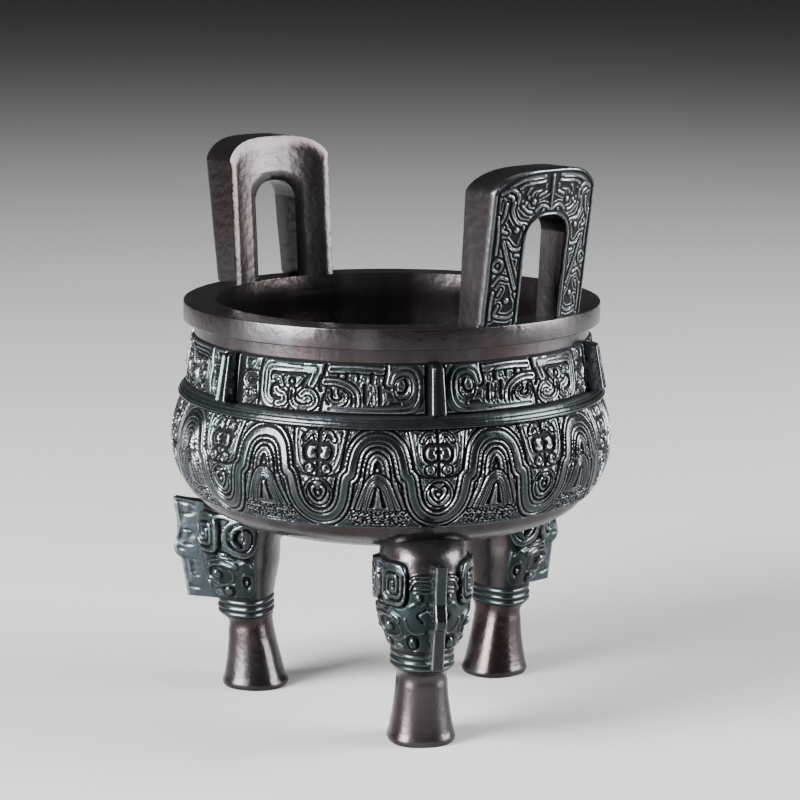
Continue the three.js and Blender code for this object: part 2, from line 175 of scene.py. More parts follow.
@dataclass
class CarvingSheet:
    """A flat sheet of heights, on which a carving is drawn stroke by stroke.

    Attributes:
        low: Lowest corner, in millimetres.
        high: Highest corner.
        ground: Height before anything is drawn.
        pitch: Distance between its cells.
        height: Height of each cell.
        near: Distance of each cell from what is drawn, negative inside it.
        reach: How far from a stroke that distance is worked out.
        far: The distance where nothing is near.
        groove_share: Width of the groove along a raised line, as a share of the line's.
        edge: Width of the sloping edge of a boss or a thin contour ridge.
        stand_gain: How much the tone rises with the stand, which lightens ridges as worn metal and a
            painted highlight.
        steep_wall_shade: How much the tone falls with the steepness: painted shade on steep walls.
    """

    low: tuple[float, float]
    high: tuple[float, float]
    ground: float = 0.0
    pitch: float = 0.1
    height: Array = field(init=False)
    near: Array = field(init=False)
    reach: float = 3.2
    far: float = 9.0
    groove_share: float = 0.26
    edge: float = 0.2
    stand_gain: float = 0.6
    steep_wall_shade: float = 0.1

    def __post_init__(self) -> None:
        """Lays out the cells."""
        u = np.arange(self.low[0], self.high[0] + self.pitch, self.pitch)
        v = np.arange(self.low[1], self.high[1] + self.pitch, self.pitch)
        self.u, self.v = np.meshgrid(u, v, indexing="ij")
        self.height = np.full(self.u.shape, self.ground)
        self.near = np.full(self.u.shape, self.far)

    def window(self, path: Array, reach: float) -> tuple[slice, slice]:
        """The cells within reach of a path's own box."""
        first = (path.min(0) - reach - self.low) / self.pitch
        last = (path.max(0) + reach - self.low) / self.pitch + 2
        limits = np.array(self.height.shape)
        a = np.clip(first.astype(int), 0, limits)
        b = np.clip(last.astype(int), 0, limits)
        return slice(a[0], b[0]), slice(a[1], b[1])

    def distance(self, path: Array, where: tuple[slice, slice]) -> Array:
        """Distance of each cell of a window from a path: the least over its straight stretches."""
        u, v = self.u[where], self.v[where]
        best = np.full(u.shape, 1e9)
        for start, end in zip(path[:-1], path[1:]):
            run = end - start
            length = max(float(run @ run), 1e-12)
            t = np.clip(((u - start[0]) * run[0] + (v - start[1]) * run[1]) / length, 0, 1)
            best = np.minimum(best, np.hypot(u - start[0] - t * run[0], v - start[1] - t * run[1]))
        return best

    def depth_inside(self, outline: Array, where: tuple[slice, slice]) -> Array:
        """How far inside an outline each cell lies, negative outside: the crossings are counted."""
        ring = np.vstack([outline, outline[:1]])
        u, v = self.u[where], self.v[where]
        inside = np.zeros(u.shape, bool)
        for start, end in zip(ring[:-1], ring[1:]):
            rise = end[1] - start[1]
            if abs(rise) > 1e-12:
                crossing = start[0] + (v - start[1]) * (end[0] - start[0]) / rise
                inside ^= ((v >= start[1]) != (v >= end[1])) & (u < crossing)
        return np.where(inside, 1.0, -1.0) * self.distance(ring, where)

    def paint(self, where: tuple[slice, slice], cover: Array, level: Array | float) -> None:
        """Brings the covered share of a window's cells to a level."""
        part = self.height[where]
        self.height[where] = part + (level - part) * cover

    def stroke(self, points: Points, width: float, level: float, soft: float = 0.22,
               closed: bool = False) -> None:
        """Draws a line of a width at a level.

        Args:
            points: What the line passes through.
            width: Its width in millimetres.
            level: Its height.
            soft: Width of its sloping edge.
            closed: Whether it is a loop.
        """
        path = smooth_path(points, closed)
        where = self.window(path, width + self.reach)
        past = self.distance(path, where) - width / 2
        self.near[where] = np.minimum(self.near[where], past)
        self.paint(where, ramp(0.5 - past / soft), level)

    def twin(self, points: Points, width: float, level: float, groove: float) -> None:
        """Draws a raised line with a thin groove along its middle."""
        self.stroke(points, width, level)
        self.stroke(points, width * self.groove_share, groove)

    def ridge(self, points: Points, width: float, level: float, groove: float, halo: float) -> None:
        """Draws a raised line with a thin groove along its middle, within a deep outline."""
        self.stroke(points, width + 2 * halo, 0.0)
        self.twin(points, width, level, groove)

    def fill(self, outline: Points, level: float, soft: float = 0.22, smooth: bool = True,
             rings: tuple[tuple[float, float, float], ...] = ()) -> None:
        """Fills an outline at a level, with contour grooves inside it.

        Args:
            outline: Its corners.
            level: Its height.
            soft: Width of its sloping edge.
            smooth: Whether the outline is a smooth curve through its corners.
            rings: For each groove, its distance inside the edge, its width and its level.
        """
        edge = smooth_path(outline, closed=True)[:-1] if smooth else np.asarray(outline, float)
        where = self.window(edge, self.reach)
        depth = self.depth_inside(edge, where)
        self.near[where] = np.minimum(self.near[where], -depth)
        self.paint(where, ramp(depth / soft + 0.5), level)
        for inset, width, low in rings:
            self.paint(where, ramp((width / 2 - np.abs(depth - inset)) / soft + 0.5), low)

    def dome(self, centre: tuple[float, float], radius: float, foot: float, rise: float) -> None:
        """Raises a round boss: half an oval over a circle."""
        path = np.array([centre, centre], float)
        where = self.window(path, radius + 0.5)
        away = np.hypot(self.u[where] - centre[0], self.v[where] - centre[1]) / radius
        bulge = foot + rise * np.sqrt(np.clip(1 - away**2, 0, 1))
        self.paint(where, ramp((1 - away) * radius / self.edge + 0.5), bulge)

    def echo(self, first: float, step: float, width: float, level: float, count: int) -> None:
        """Fills the bare ground with thin ridges that follow the outlines of all drawn so far.

        Args:
            first: Distance of the first ridge from what is drawn.
            step: Distance from each ridge to the next.
            width: Width of a ridge.
            level: Its height.
            count: How many ridges there are.
        """
        for k in range(count):
            cover = ramp((width / 2 - np.abs(self.near - first - k * step)) / self.edge + 0.5)
            self.height = self.height + (level - self.height) * cover

    def finish(self, base: float = 0.0, gain: float = 1.0) -> None:
        """Rounds the drawing a little, and works out what its finish reads.

        The stand is the height above the mean of the surroundings. The tone rises with the height, so that
        hollows are dark, and with the stand, which lightens ridges as worn metal and a painted highlight. It
        falls with the steepness, which darkens walls as painted shade.

        Args:
            base: Tone of a flat place of height 0.
            gain: How much the tone rises with the height.
        """
        self.height = blur(blur(self.height, 1), 1)
        self.stand = self.height - blur(blur(self.height, 5), 5)
        steep = np.hypot(*np.gradient(self.height, self.pitch))
        # Painted light in the tone: the stand lightens ridges as wear and highlight, the steepness darkens
        # walls as shade.
        tone = base + gain * self.height + self.stand_gain * self.stand - self.steep_wall_shade * steep
        self.tone = np.clip(tone, 0, 1)

    def sample(self, u: Array, v: Array, values: Array | None = None) -> Array:
        """Values at places on the sheet, mixed from the four cells around each place."""
        source = self.height if values is None else values
        x = np.clip((u - self.low[0]) / self.pitch, 0, source.shape[0] - 1.001)
        y = np.clip((v - self.low[1]) / self.pitch, 0, source.shape[1] - 1.001)
        i, j = x.astype(int), y.astype(int)
        s, t = x - i, y - j
        below = source[i, j] * (1 - s) + source[i + 1, j] * s
        above = source[i, j + 1] * (1 - s) + source[i + 1, j + 1] * s
        return below * (1 - t) + above * t


# Meshes


def grid_faces(columns: int, rows: int, round_columns: bool, round_rows: bool) -> Array:
    """The four-sided faces of a grid, whose columns or rows may close into a ring."""
    i = np.arange(columns if round_columns else columns - 1)
    j = np.arange(rows if round_rows else rows - 1)
    a, b = np.meshgrid(i, j, indexing="ij")
    c, d = (a + 1) % columns, (b + 1) % rows
    return np.stack([a * rows + b, c * rows + b, c * rows + d, a * rows + d], -1).reshape(-1, 4)


def signed_volume(points: Array, quads: Array, caps: list[Array]) -> float:
    """Six times the volume inside closed faces, positive where they face outwards."""
    parts = [quads[:, [0, 1, 2]], quads[:, [0, 2, 3]]]
    for cap in caps:
        fan = np.stack([np.full(len(cap) - 2, cap[0]), cap[1:-1], cap[2:]], -1)
        parts.append(fan)
    a, b, c = (points[np.concatenate(parts)[:, k]] for k in range(3))
    return float(np.einsum("ij,ij->", a, np.cross(b, c)))


@dataclass
class Skin:
    """A closed surface on a grid, with the values that its finish reads.

    Attributes:
        points: Places, shaped columns by rows by three.
        level: Height of the carving from its ground, 0, to its face, 1.
        stand: How far a place stands out from what is around it; the finish makes it bright, as worn metal
        and a painted highlight.
        zone: Share of the darkened finish.
    """

    points: Array
    level: Array
    stand: Array
    zone: Array
    round_columns: bool = True
    round_rows: bool = False

    def caps(self) -> list[Array]:
        """The end faces of whichever direction isn't closed."""
        columns, rows = self.points.shape[:2]
        if not self.round_rows:
            first = np.arange(columns) * rows
            return [first[::-1], first + rows - 1]
        if not self.round_columns:
            first = np.arange(rows)
            return [first, (first + (columns - 1) * rows)[::-1]]
        return []

    def arrays(self) -> tuple[Array, Array, list[Array], dict[str, Array]]:
        """Flat points, faces turned outwards, end faces and attributes."""
        columns, rows = self.points.shape[:2]
        flat = self.points.reshape(-1, 3)
        quads = grid_faces(columns, rows, self.round_columns, self.round_rows)
        caps = self.caps()
        if signed_volume(flat, quads, caps) < 0:
            quads = quads[:, ::-1]
            caps = [cap[::-1] for cap in caps]
        values = {"level": self.level, "stand": self.stand, "zone": self.zone}
        return flat, quads, caps, {k: np.broadcast_to(v, (columns, rows)).ravel() for k, v in values.items()}


def make_piece(
    name: str, skins: list[Skin], material: bpy.types.Material, sharp: float = 50.0
) -> bpy.types.Object:
    """Makes one object of closed skins, which rides on the casting and stands for it.

    Args:
        name: The object's name.
        skins: Closed surfaces in the vessel's frame, in millimetres.
        material: Its finish.
        sharp: Angle in degrees above which an edge stays crisp.

    Returns:
        The object.
    """
    points, corners, sizes = [], [], []
    values: dict[str, list[Array]] = {"level": [], "stand": [], "zone": []}
    base = 0
    for skin in skins:
        flat, quads, caps, attributes = skin.arrays()
        points.append(flat)
        corners += [(quads + base).ravel(), *[cap + base for cap in caps]]
        sizes += [np.full(len(quads), 4), np.array([len(cap) for cap in caps], int)]
        for key, value in attributes.items():
            values[key].append(value)
        base += len(flat)
    where, corner, size = np.concatenate(points), np.concatenate(corners), np.concatenate(sizes)
    mesh = bpy.data.meshes.new(name)
    mesh.vertices.add(len(where))
    mesh.vertices.foreach_set("co", (where * MM).astype(np.float32).ravel())
    mesh.loops.add(len(corner))
    mesh.loops.foreach_set("vertex_index", corner.astype(np.int32))
    mesh.polygons.add(len(size))
    mesh.polygons.foreach_set("loop_start", (np.cumsum(size) - size).astype(np.int32))
    mesh.update(calc_edges=True)
    mesh.validate()
    mesh.polygons.foreach_set("use_smooth", np.ones(len(mesh.polygons), bool))
    mesh.set_sharp_from_angle(angle=math.radians(sharp))
    for key, parts in values.items():
        attribute = mesh.attributes.new(key, "FLOAT", "POINT")
        attribute.data.foreach_set("value", np.concatenate(parts).astype(np.float32))
    mesh.materials.append(material)
    piece = bpy.data.objects.new(name, mesh)
    bpy.context.scene.collection.objects.link(piece)
    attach(piece, "root")
    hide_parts(NODE)
    LOG.info("%s: %d faces", name, len(mesh.polygons))
    return piece


# Sizes of the whole vessel


@dataclass(frozen=True)
class VesselSizes:
    """Heights and radii that the sub-assemblies share, in millimetres."""

    leg_height: float = 66.5
    belly_height: float = 28.8
    string_band_height: float = 3.6
    neck_height: float = 14.4
    collar_height: float = 4.1
    rim_thickness: float = 5.9
    ear_height: float = 43.9
    rim_radius: float = 62.0
    mouth_radius: float = 52.4
    collar_radius: float = 58.8
    neck_top_radius: float = 59.6
    neck_foot_radius: float = 61.6
    string_band_radius: float = 64.0
    belly_top_radius: float = 62.6
    belly_radius: float = 66.0
    belly_foot_radius: float = 60.3
    underside_radius: float = 58.6
    underside_depth: float = 13.5
    wall: float = 4.5
    neck_wall: float = 5.8
    relief: float = 0.9
    leg_circle_radius: float = 44.0
    leg_flange_reach: float = 26.8
    widest_share: float = 0.54
    first_leg: float = 90.0
    leg_count: int = 3
    wave_count: int = 12

    @property
    def leg_step(self) -> float:
        """Angle in degrees from each leg to the next."""
        return 360 / self.leg_count

    @property
    def wave_step(self) -> float:
        """Angle in degrees from each wave to the next."""
        return 360 / self.wave_count

    @property
    def belly_top(self) -> float:
        """Height of the carved belly's upper edge."""
        return self.leg_height + self.belly_height

    @property
    def neck_foot(self) -> float:
        """Height of the neck band's lower edge."""
        return self.belly_top + self.string_band_height

    @property
    def neck_top(self) -> float:
        """Height of the neck band's upper edge."""
        return self.neck_foot + self.neck_height

    @property
    def rim_foot(self) -> float:
        """Height of the rim's underside."""
        return self.neck_top + self.collar_height

    @property
    def rim_top(self) -> float:
        """Height of the rim's flat top."""
        return self.rim_foot + self.rim_thickness

    def belly_radius_at(self, z: Array) -> Array:
        """Radius of the belly's face: two curves that meet at its widest place.

        Above it the radius falls with the square of the height, below it a little faster.
        """
        wide = self.leg_height + self.belly_height * self.widest_share
        up = np.clip((z - wide) / (self.belly_top - wide), 0, 1)
        down = np.clip((wide - z) / (wide - self.leg_height), 0, 1)
        high = self.belly_radius - (self.belly_radius - self.belly_top_radius) * up**2
        low = self.belly_radius - (self.belly_radius - self.belly_foot_radius) * down**2.2
        return np.where(z > wide, high, low)

    def neck_radius_at(self, z: Array) -> Array:
        """Radius of the neck's face, which narrows evenly upwards."""
        share = (z - self.neck_foot) / self.neck_height
        return self.neck_foot_radius + (self.neck_top_radius - self.neck_foot_radius) * share


def revolve(radius: Array, height: Array, degrees: Array, axis_y: float) -> Array:
    """Places on a turned surface: radius and height per column and row, at each column's angle."""
    turn = np.radians(degrees)[:, None]
    radius, height = np.broadcast_arrays(radius, height)
    return np.stack([radius * np.cos(turn), radius * np.sin(turn) + axis_y, height + 0 * turn], -1)


def rounded(corners: Points, radius: float, steps: int = 4) -> Array:
    """A polyline whose corners are rounded: each becomes a quadratic curve between its two sides."""
    p = np.asarray(corners, float)
    out = [p[:1]]
    t = np.linspace(0, 1, steps + 1)[:, None]
    for before, here, after in zip(p[:-2], p[1:-1], p[2:]):
        back, on = before - here, after - here
        cut_back = min(radius, 0.45 * np.hypot(*back)) / np.hypot(*back)
        cut_on = min(radius, 0.45 * np.hypot(*on)) / np.hypot(*on)
        start, end = here + back * cut_back, here + on * cut_on
        out.append((1 - t) ** 2 * start + 2 * t * (1 - t) * here + t**2 * end)
    out.append(p[-1:])
    return np.vstack(out)


# Finishes


@dataclass(frozen=True)
class BronzeFinish:
    """The colours and gloss of the cast bronze, plain and carved."""

    plain: Triple = (0.025, 0.0228, 0.025)
    plain_warm: Triple = (0.024, 0.0172, 0.0178)
    plain_bright: Triple = (0.072, 0.0695, 0.076)
    patina: Triple = (0.022, 0.0255, 0.0295)
    patina_green: Triple = (0.0125, 0.0195, 0.021)
    recess: Triple = (0.0012, 0.0015, 0.002)
    # Edge colour of the carving: worn bright metal, and a painted highlight.
    wear_and_highlight: Triple = (0.125, 0.132, 0.14)
    roughness_plain: float = 0.22
    roughness_carved: float = 0.2
    roughness_recess: float = 0.7
    metallic: float = 0.9
    bump_strength: float = 0.35
    bump_distance: float = 0.0004


class NodeDesk:
    """Short ways to add and join shader nodes."""

    # Places of the Mix node's sockets, by the kind of what it mixes.
    colour_sockets = (6, 7, 2)
    number_sockets = (2, 3, 0)

    def __init__(self, tree: bpy.types.NodeTree) -> None:
        """Keeps the tree that nodes are added to."""
        self.tree = tree

    def add(self, kind: str, **settings: object) -> bpy.types.Node:
        """Adds a node and sets its properties."""
        node = self.tree.nodes.new(kind)
        for key, value in settings.items():
            setattr(node, key, value)
        return node

    def join(self, source: Socket, target: Socket) -> None:
        """Joins two sockets."""
        self.tree.links.new(source, target)

    def attribute(self, name: str) -> Socket:
        """The value of a mesh attribute."""
        return self.add("ShaderNodeAttribute", attribute_name=name).outputs["Fac"]

    def noise(self, vector: Socket, scale: float, detail: float, stretch: Triple = (1, 1, 1)) -> Socket:
        """Cloudy noise over a vector, stretched along its axes."""
        mapping = self.add("ShaderNodeMapping")
        mapping.inputs["Scale"].default_value = stretch
        self.join(vector, mapping.inputs["Vector"])
        node = self.add("ShaderNodeTexNoise")
        node.inputs["Scale"].default_value = scale
        node.inputs["Detail"].default_value = detail
        self.join(mapping.outputs["Vector"], node.inputs["Vector"])
        return node.outputs["Fac"]

    def fit(self, value: Socket, low: float, high: float, to_low: float = 0.0,
            to_high: float = 1.0) -> Socket:
        """Fits a value from one range to another, held at its ends."""
        node = self.add("ShaderNodeMapRange")
        for key, number in zip(("From Min", "From Max", "To Min", "To Max"), (low, high, to_low, to_high)):
            node.inputs[key].default_value = number
        self.join(value, node.inputs["Value"])
        return node.outputs["Result"]

    def product(self, first: Socket, second: Socket) -> Socket:
        """Multiplies two values."""
        node = self.add("ShaderNodeMath", operation="MULTIPLY")
        self.join(first, node.inputs[0])
        self.join(second, node.inputs[1])
        return node.outputs[0]

    def blend(self, share: Socket, first: Socket | Triple, second: Socket | Triple) -> Socket:
        """Mixes two colours by a share; each is a colour or a socket."""
        low, high, out = self.colour_sockets
        node = self.add("ShaderNodeMix", data_type="RGBA")
        self.join(share, node.inputs[0])
        for socket, colour in ((node.inputs[low], first), (node.inputs[high], second)):
            if isinstance(colour, tuple):
                socket.default_value = (*colour, 1)
            else:
                self.join(colour, socket)
        return node.outputs[out]

    def blend_value(self, share: Socket, first: Socket, second: Socket) -> Socket:
        """Mixes two numbers by a share."""
        low, high, out = self.number_sockets
        node = self.add("ShaderNodeMix", data_type="FLOAT")
        self.join(share, node.inputs[0])
        self.join(first, node.inputs[low])
        self.join(second, node.inputs[high])
        return node.outputs[out]


def bronze_material(finish: BronzeFinish) -> bpy.types.Material:
    """The casting's material: plain streaky metal, and darkened carving whose edges are bright, partly as
    worn metal and partly as a painted highlight.

    Args:
        finish: Its colours and gloss.

    Returns:
        The material.
    """
    made = bpy.data.materials.new("cast_bronze_patina")
    made.use_nodes = True
    made.node_tree.nodes.clear()
    desk = NodeDesk(made.node_tree)
    place = desk.add("ShaderNodeTexCoord").outputs["Object"]
    zone, level, stand = desk.attribute("zone"), desk.attribute("level"), desk.attribute("stand")
    cloud = desk.noise(place, 38, 5)
    streak = desk.noise(place, 60, 4, (1, 1, 0.12))
    fine = desk.noise(place, 700, 3)
    warm = desk.blend(desk.fit(cloud, 0.4, 0.62), finish.plain, finish.plain_warm)
    plain = desk.blend(desk.fit(streak, 0.5, 0.75, 0, 0.55), warm, finish.plain_bright)
    cool = desk.blend(desk.fit(cloud, 0.42, 0.6), finish.patina, finish.patina_green)
    # Near-black where the tone is low: in the hollows, and on steep walls, where it is painted shade.
    deep = desk.blend(desk.fit(level, 0.12, 0.7), finish.recess, cool)
    # Bright edges from the stand: partly worn metal, partly a painted highlight.
    edge = desk.product(desk.fit(stand, 0.04, 0.3), desk.fit(fine, 0.3, 0.6, 0.35, 1.0))
    carved = desk.blend(edge, deep, finish.wear_and_highlight)
    colour = desk.blend(zone, plain, carved)
    gloss_plain = desk.fit(streak, 0.3, 0.7, finish.roughness_plain - 0.05, finish.roughness_plain + 0.1)
    gloss_carved = desk.fit(level, 0.1, 0.7, finish.roughness_recess, finish.roughness_carved)
    rough = desk.blend_value(zone, gloss_plain, gloss_carved)
    shader = desk.add("ShaderNodeBsdfPrincipled")
    shader.inputs["Metallic"].default_value = finish.metallic
    desk.join(colour, shader.inputs["Base Color"])
    desk.join(rough, shader.inputs["Roughness"])
    bump = desk.add("ShaderNodeBump")
    bump.inputs["Strength"].default_value = finish.bump_strength
    bump.inputs["Distance"].default_value = finish.bump_distance
    desk.join(desk.noise(place, 420, 6), bump.inputs["Height"])
    desk.join(bump.outputs["Normal"], shader.inputs["Normal"])
    output = desk.add("ShaderNodeOutputMaterial")
    desk.join(shader.outputs["BSDF"], output.inputs["Surface"])
    return made


# The turned shell


@dataclass
class Shell:
    """The turned body: underside, string band, collar, rim and the hollow inside."""

    sizes: VesselSizes
    axis_y: float
    columns: int = 288

    def outside(self) -> Array:
        """The outer profile from the middle of the underside up to the rim's outer edge."""
        s = self.sizes
        turn = np.linspace(0.004, math.pi / 2, 22)
        under_z = s.leg_height - s.underside_depth * np.cos(turn)
        under = np.stack([s.underside_radius * np.sin(turn), under_z], -1)
        hide = s.relief + 1.2
        z = np.linspace(s.leg_height + 0.6, s.belly_top - 0.6, 9)
        behind = np.stack([s.belly_radius_at(z) - hide, z], -1)
        b = s.belly_top
        r = s.string_band_radius
        ring = [
            (s.belly_top_radius - hide, b - 0.3), (s.belly_top_radius - 0.9, b + 0.05), (r - 0.35, b + 0.1),
            (r - 0.1, b + 0.35), (r - 0.15, b + 0.8), (r - 0.55, b + 0.95), (r - 0.6, b + 1.1),
            (r - 0.38, b + 1.25), (r - 0.8, b + 1.95), (r - 1.2, b + 2.05), (r - 1.28, b + 2.2),
            (r - 1.1, b + 2.32), (r - 1.75, b + 3.05), (s.neck_foot_radius + 0.1, b + 3.45),
            (s.neck_foot_radius - 1.1, b + 3.55),
        ]
        lip = [
            (s.neck_foot_radius - hide, s.neck_foot + 0.3), (s.neck_top_radius - hide, s.neck_top - 0.3),
            (s.neck_top_radius - 1.2, s.neck_top - 0.02), (s.collar_radius, s.neck_top),
            (s.collar_radius, s.rim_foot), (s.rim_radius, s.rim_foot), (s.rim_radius, s.rim_top),
            (s.mouth_radius, s.rim_top),
        ]
        return np.vstack([under, behind, rounded(ring, 0.08, 2), rounded(lip, 0.45)])

    def inside(self) -> Array:
        """The inner profile from the mouth's edge down to the middle of the bowl's floor."""
        s = self.sizes
        floor = s.leg_height - s.underside_depth + s.wall
        foot = s.leg_height + s.wall * 0.6
        wide = s.leg_height + s.belly_height * s.widest_share
        z = np.linspace(s.rim_top, foot, 30)[1:-1]
        hide = s.wall + s.relief
        places = [foot, wide, s.belly_top, s.neck_foot, s.neck_top, s.rim_foot, s.rim_top]
        radii = [s.underside_radius - s.wall, s.belly_radius - hide, s.belly_top_radius - hide,
                 s.neck_foot_radius - s.neck_wall, s.neck_top_radius - s.neck_wall, s.mouth_radius,
                 s.mouth_radius]
        wall = np.stack([through(z, places, radii), z], -1)
        turn = np.linspace(math.pi / 2, 0.004, 20)
        dish_z = foot - (foot - floor) * np.cos(turn)
        dish = np.stack([(s.underside_radius - s.wall) * np.sin(turn), dish_z], -1)
        return np.vstack([wall, dish])

    def build(self, material: bpy.types.Material) -> bpy.types.Object:
        """Turns the profile about the axis and adds the slight waviness of the casting."""
        s = self.sizes
        profile = np.vstack([self.outside(), self.inside()])
        degrees = np.arange(self.columns) * 360 / self.columns
        points = revolve(profile[None, :, 0], profile[None, :, 1], degrees, self.axis_y)
        wave = unevenness(points, 31, 0.1, 0.4) + unevenness(points, 9, 0.03, 1.1)
        turn = np.radians(degrees)[:, None]
        push = wave * np.clip(profile[None, :, 0] / 20, 0, 1)
        points[..., 0] += push * np.cos(turn)
        points[..., 1] += push * np.sin(turn)
        r, z = profile[:, 0], profile[:, 1]
        banded = (z > s.belly_top - 0.5) & (z < s.neck_foot + 0.4) & (r > s.neck_foot_radius - 1.4)
        slope = 0.1 + 0.62 * np.clip(z - s.belly_top - 0.8, 0, 3)
        groove = np.clip((s.string_band_radius - slope - r) / 0.4, 0, 1)
        level = np.where(banded, 1 - groove, 1.0)
        # A faint lightening of the string band: worn metal and a painted highlight.
        stand = np.where(banded, 0.06, 0.0)
        zone = np.where(banded, Zone.CARVED.value, Zone.PLAIN.value)
        skin = Skin(points, level[None, :], stand[None, :], zone[None, :])
        return make_piece("turned_shell", [skin], material, 40)


# The carved bands


class NeckCarving:
    """One panel of the neck: a creature's face, body and tail, drawn from its face flange to its tail."""

    length = 63.4
    height = 14.4
    deep = 0.0
    floor = 0.72
    face = 0.95
    line = 0.45

    def draw(self) -> CarvingSheet:
        """Draws the panel.

        Returns:
            The sheet, in millimetres along and up from the panel's lower corner.
        """
        sheet = CarvingSheet((0, 0), (self.length, self.height), self.floor)
        self.nose(sheet)
        self.eye(sheet)
        self.body(sheet)
        self.tail(sheet)
        sheet.echo(0.75, 0.85, 0.24, 0.3, 1)
        for edge in ([(3.3, -1), (3.3, 15.4)], [(61.5, -1), (61.5, 15.4)]):
            sheet.stroke(edge, 2.3, self.deep)
        for edge in ([(-1, 0), (64.4, 0)], [(-1, 14.4), (64.4, 14.4)]):
            sheet.stroke(edge, 0.9, self.deep)
        sheet.finish()
        return sheet

    def nose(self, sheet: CarvingSheet) -> None:
        """The narrow column beside the flange: a nose plate and two curls."""
        f, g, k = self.face, self.line, self.deep
        plate = [(4.8, 10.2), (8.2, 10.3), (10.2, 13.9), (4.8, 13.9)]
        sheet.fill(plate, f, smooth=False, rings=((0.8, 0.3, g),))
        sheet.ridge([(9.4, 9.2), (6.4, 9.0), (5.3, 7.3), (6.2, 5.6), (8.6, 5.5)], 1.7, f, g, 0.25)
        sheet.ridge([(8.6, 4.5), (9, 2.8), (7, 1.3), (5.4, 2), (5.8, 3.6)], 1.6, f, g, 0.25)
        sheet.stroke([(9.2, 7.4), (7.4, 7.2)], 0.8, k)
        sheet.stroke([(10.8, 0.4), (10.9, 4.4), (10.6, 9.2), (11.5, 13.8)], 0.7, k)

    def eye(self, sheet: CarvingSheet) -> None:
        """The eye panel: a broad hooked band with two grooves, an eye, and a scroll below it."""
        f, g, k = self.face, self.line, self.deep
        band = [(29.4, 12.5), (22, 12.5), (15, 12.4), (13.3, 11), (13.1, 8), (13.2, 4.2), (14.6, 2.1),
                (18, 2)]
        sheet.stroke(band, 3.2, f)
        for width, level in ((1.5, g), (1.0, f)):
            sheet.stroke(band, width, level)
        sheet.ridge([(29.6, 12), (28.8, 10), (27.9, 7.9)], 2.4, f, g, 0.25)
        sheet.fill([(25.6, 10.9), (31, 10.9), (31.6, 14), (25.6, 14)], f, smooth=False)
        sheet.stroke([(25, 12.8), (29.9, 12.8), (28.6, 8.6)], 0.3, g)
        sheet.ridge([(17.4, 1.9), (19.5, 2.6), (19.3, 4.4), (17.7, 4.8), (16.7, 5.8)], 2.0, f, g, 0.25)
        sheet.stroke([(17.5, 7.5), (15.6, 6.7), (15.2, 4.4), (16.6, 3.4), (18, 3.4)], 0.9, k)
        sheet.stroke([(15.4, 10.4), (21, 10.6), (26.4, 10.6), (26.2, 9.2), (25.2, 7.2)], 0.7, k)
        sheet.ridge([(15.6, 9.2), (17.8, 8.8), (18.5, 7.2)], 1.5, f, g, 0.25)
        eye = [(18.9, 8.9), (20.6, 9.9), (24.2, 9.9), (25.3, 9.2), (23.6, 7), (20.4, 6.7)]
        sheet.stroke(eye, 0.8, k, closed=True)
        sheet.fill(eye, f, rings=((0.55, 0.3, g),))
        sheet.stroke(arc((21.9, 8.4), (0.95, 0.9), 0, 345), 0.45, k, closed=True)
        sheet.dome((21.9, 8.4), 0.75, f - 0.15, 0.35)
        sheet.stroke([(20.9, 0.5), (21.6, 3), (20.9, 5.8)], 0.7, k)
        scroll = [(22.0, 6.0), (22.0, 3.4), (23.2, 1.7), (25.8, 1.2), (28.4, 1.9), (29.4, 3.7), (28.4, 5.5),
                  (26.3, 5.9), (25.0, 4.9)]
        sheet.ridge(scroll, 1.9, f, g, 0.3)
        sheet.dome((26.2, 3.6), 0.8, f - 0.25, 0.3)
        sheet.stroke([(32.2, 13.6), (31.4, 10.6), (30.3, 8), (30.9, 6.4)], 0.95, k)
        sheet.stroke([(32.1, 5.6), (31.2, 3), (30.9, 0.4)], 0.85, k)

    def body(self, sheet: CarvingSheet) -> None:
        """The long body: a broad upper band over dark teeth, a band that turns in a volute, and dark bars."""
        f, g, k = self.face, self.line, self.deep
        sheet.ridge([(33.7, 12.5), (41, 12.7), (48.6, 12.3)], 2.2, f, g, 0.3)
        for u, width, low in ((36.0, 0.7, 10.3), (38.4, 1.1, 9.7), (41.8, 0.8, 9.9), (45.6, 1.4, 9.4)):
            sheet.stroke([(u, 11.2), (u - 0.2, low)], width, k)
        sheet.ridge([(32.0, 8.9), (35.2, 9.0), (38.6, 8.1), (40.8, 6.2), (41.3, 2.8)], 2.1, f, g, 0.35)
        volute = [(33.2, 6.4), (33.3, 4.2), (35.0, 3.0), (37.2, 3.4), (38.0, 5.0), (36.8, 6.2)]
        sheet.ridge(volute, 1.5, f, g, 0.4)
        sheet.dome((35.6, 4.9), 0.7, f - 0.25, 0.35)
        for u, high in ((43.5, 8.2), (47.7, 7.6)):
            sheet.stroke([(u, high), (u + 0.2, 3.8)], 1.3, k)
        sheet.ridge([(45.4, 8.0), (45.8, 3.4)], 1.6, f, g, 0.2)
        sheet.stroke([(49.7, 13.4), (49.2, 10.6), (49.1, 8.4), (50.6, 7.6)], 0.95, k)

    def tail(self, sheet: CarvingSheet) -> None:
        """The round tail scroll, whose ring runs on as the band under the body."""
        f, g, k = self.face, self.line, self.deep
        ring = [(50.6, 9), (51.6, 11.6), (54.2, 12.8), (57.2, 12.1), (58.5, 8.9), (58, 4.2), (55.6, 1.9),
                (50, 1.5), (42, 1.5), (33.5, 1.5)]
        sheet.stroke(ring, 2.2, f)
        sheet.stroke(ring, 0.35, g)
        whorl = [(54.5, 10.8), (56.3, 9.7), (56.5, 6.6), (55, 4.7), (52.8, 5), (51.9, 7), (52.2, 9.6)]
        sheet.stroke(whorl, 0.5, k, closed=True)
        sheet.fill(whorl, f, rings=((0.6, 0.28, g),))
        sheet.stroke([(54.8, 9.9), (55.4, 8.2), (54.4, 6.3), (53.1, 6.3)], 0.9, k)
        sheet.dome((53.8, 8.5), 0.85, f - 0.2, 0.35)
        sheet.stroke([(50.8, 3.4), (53.6, 3.3)], 0.45, k)


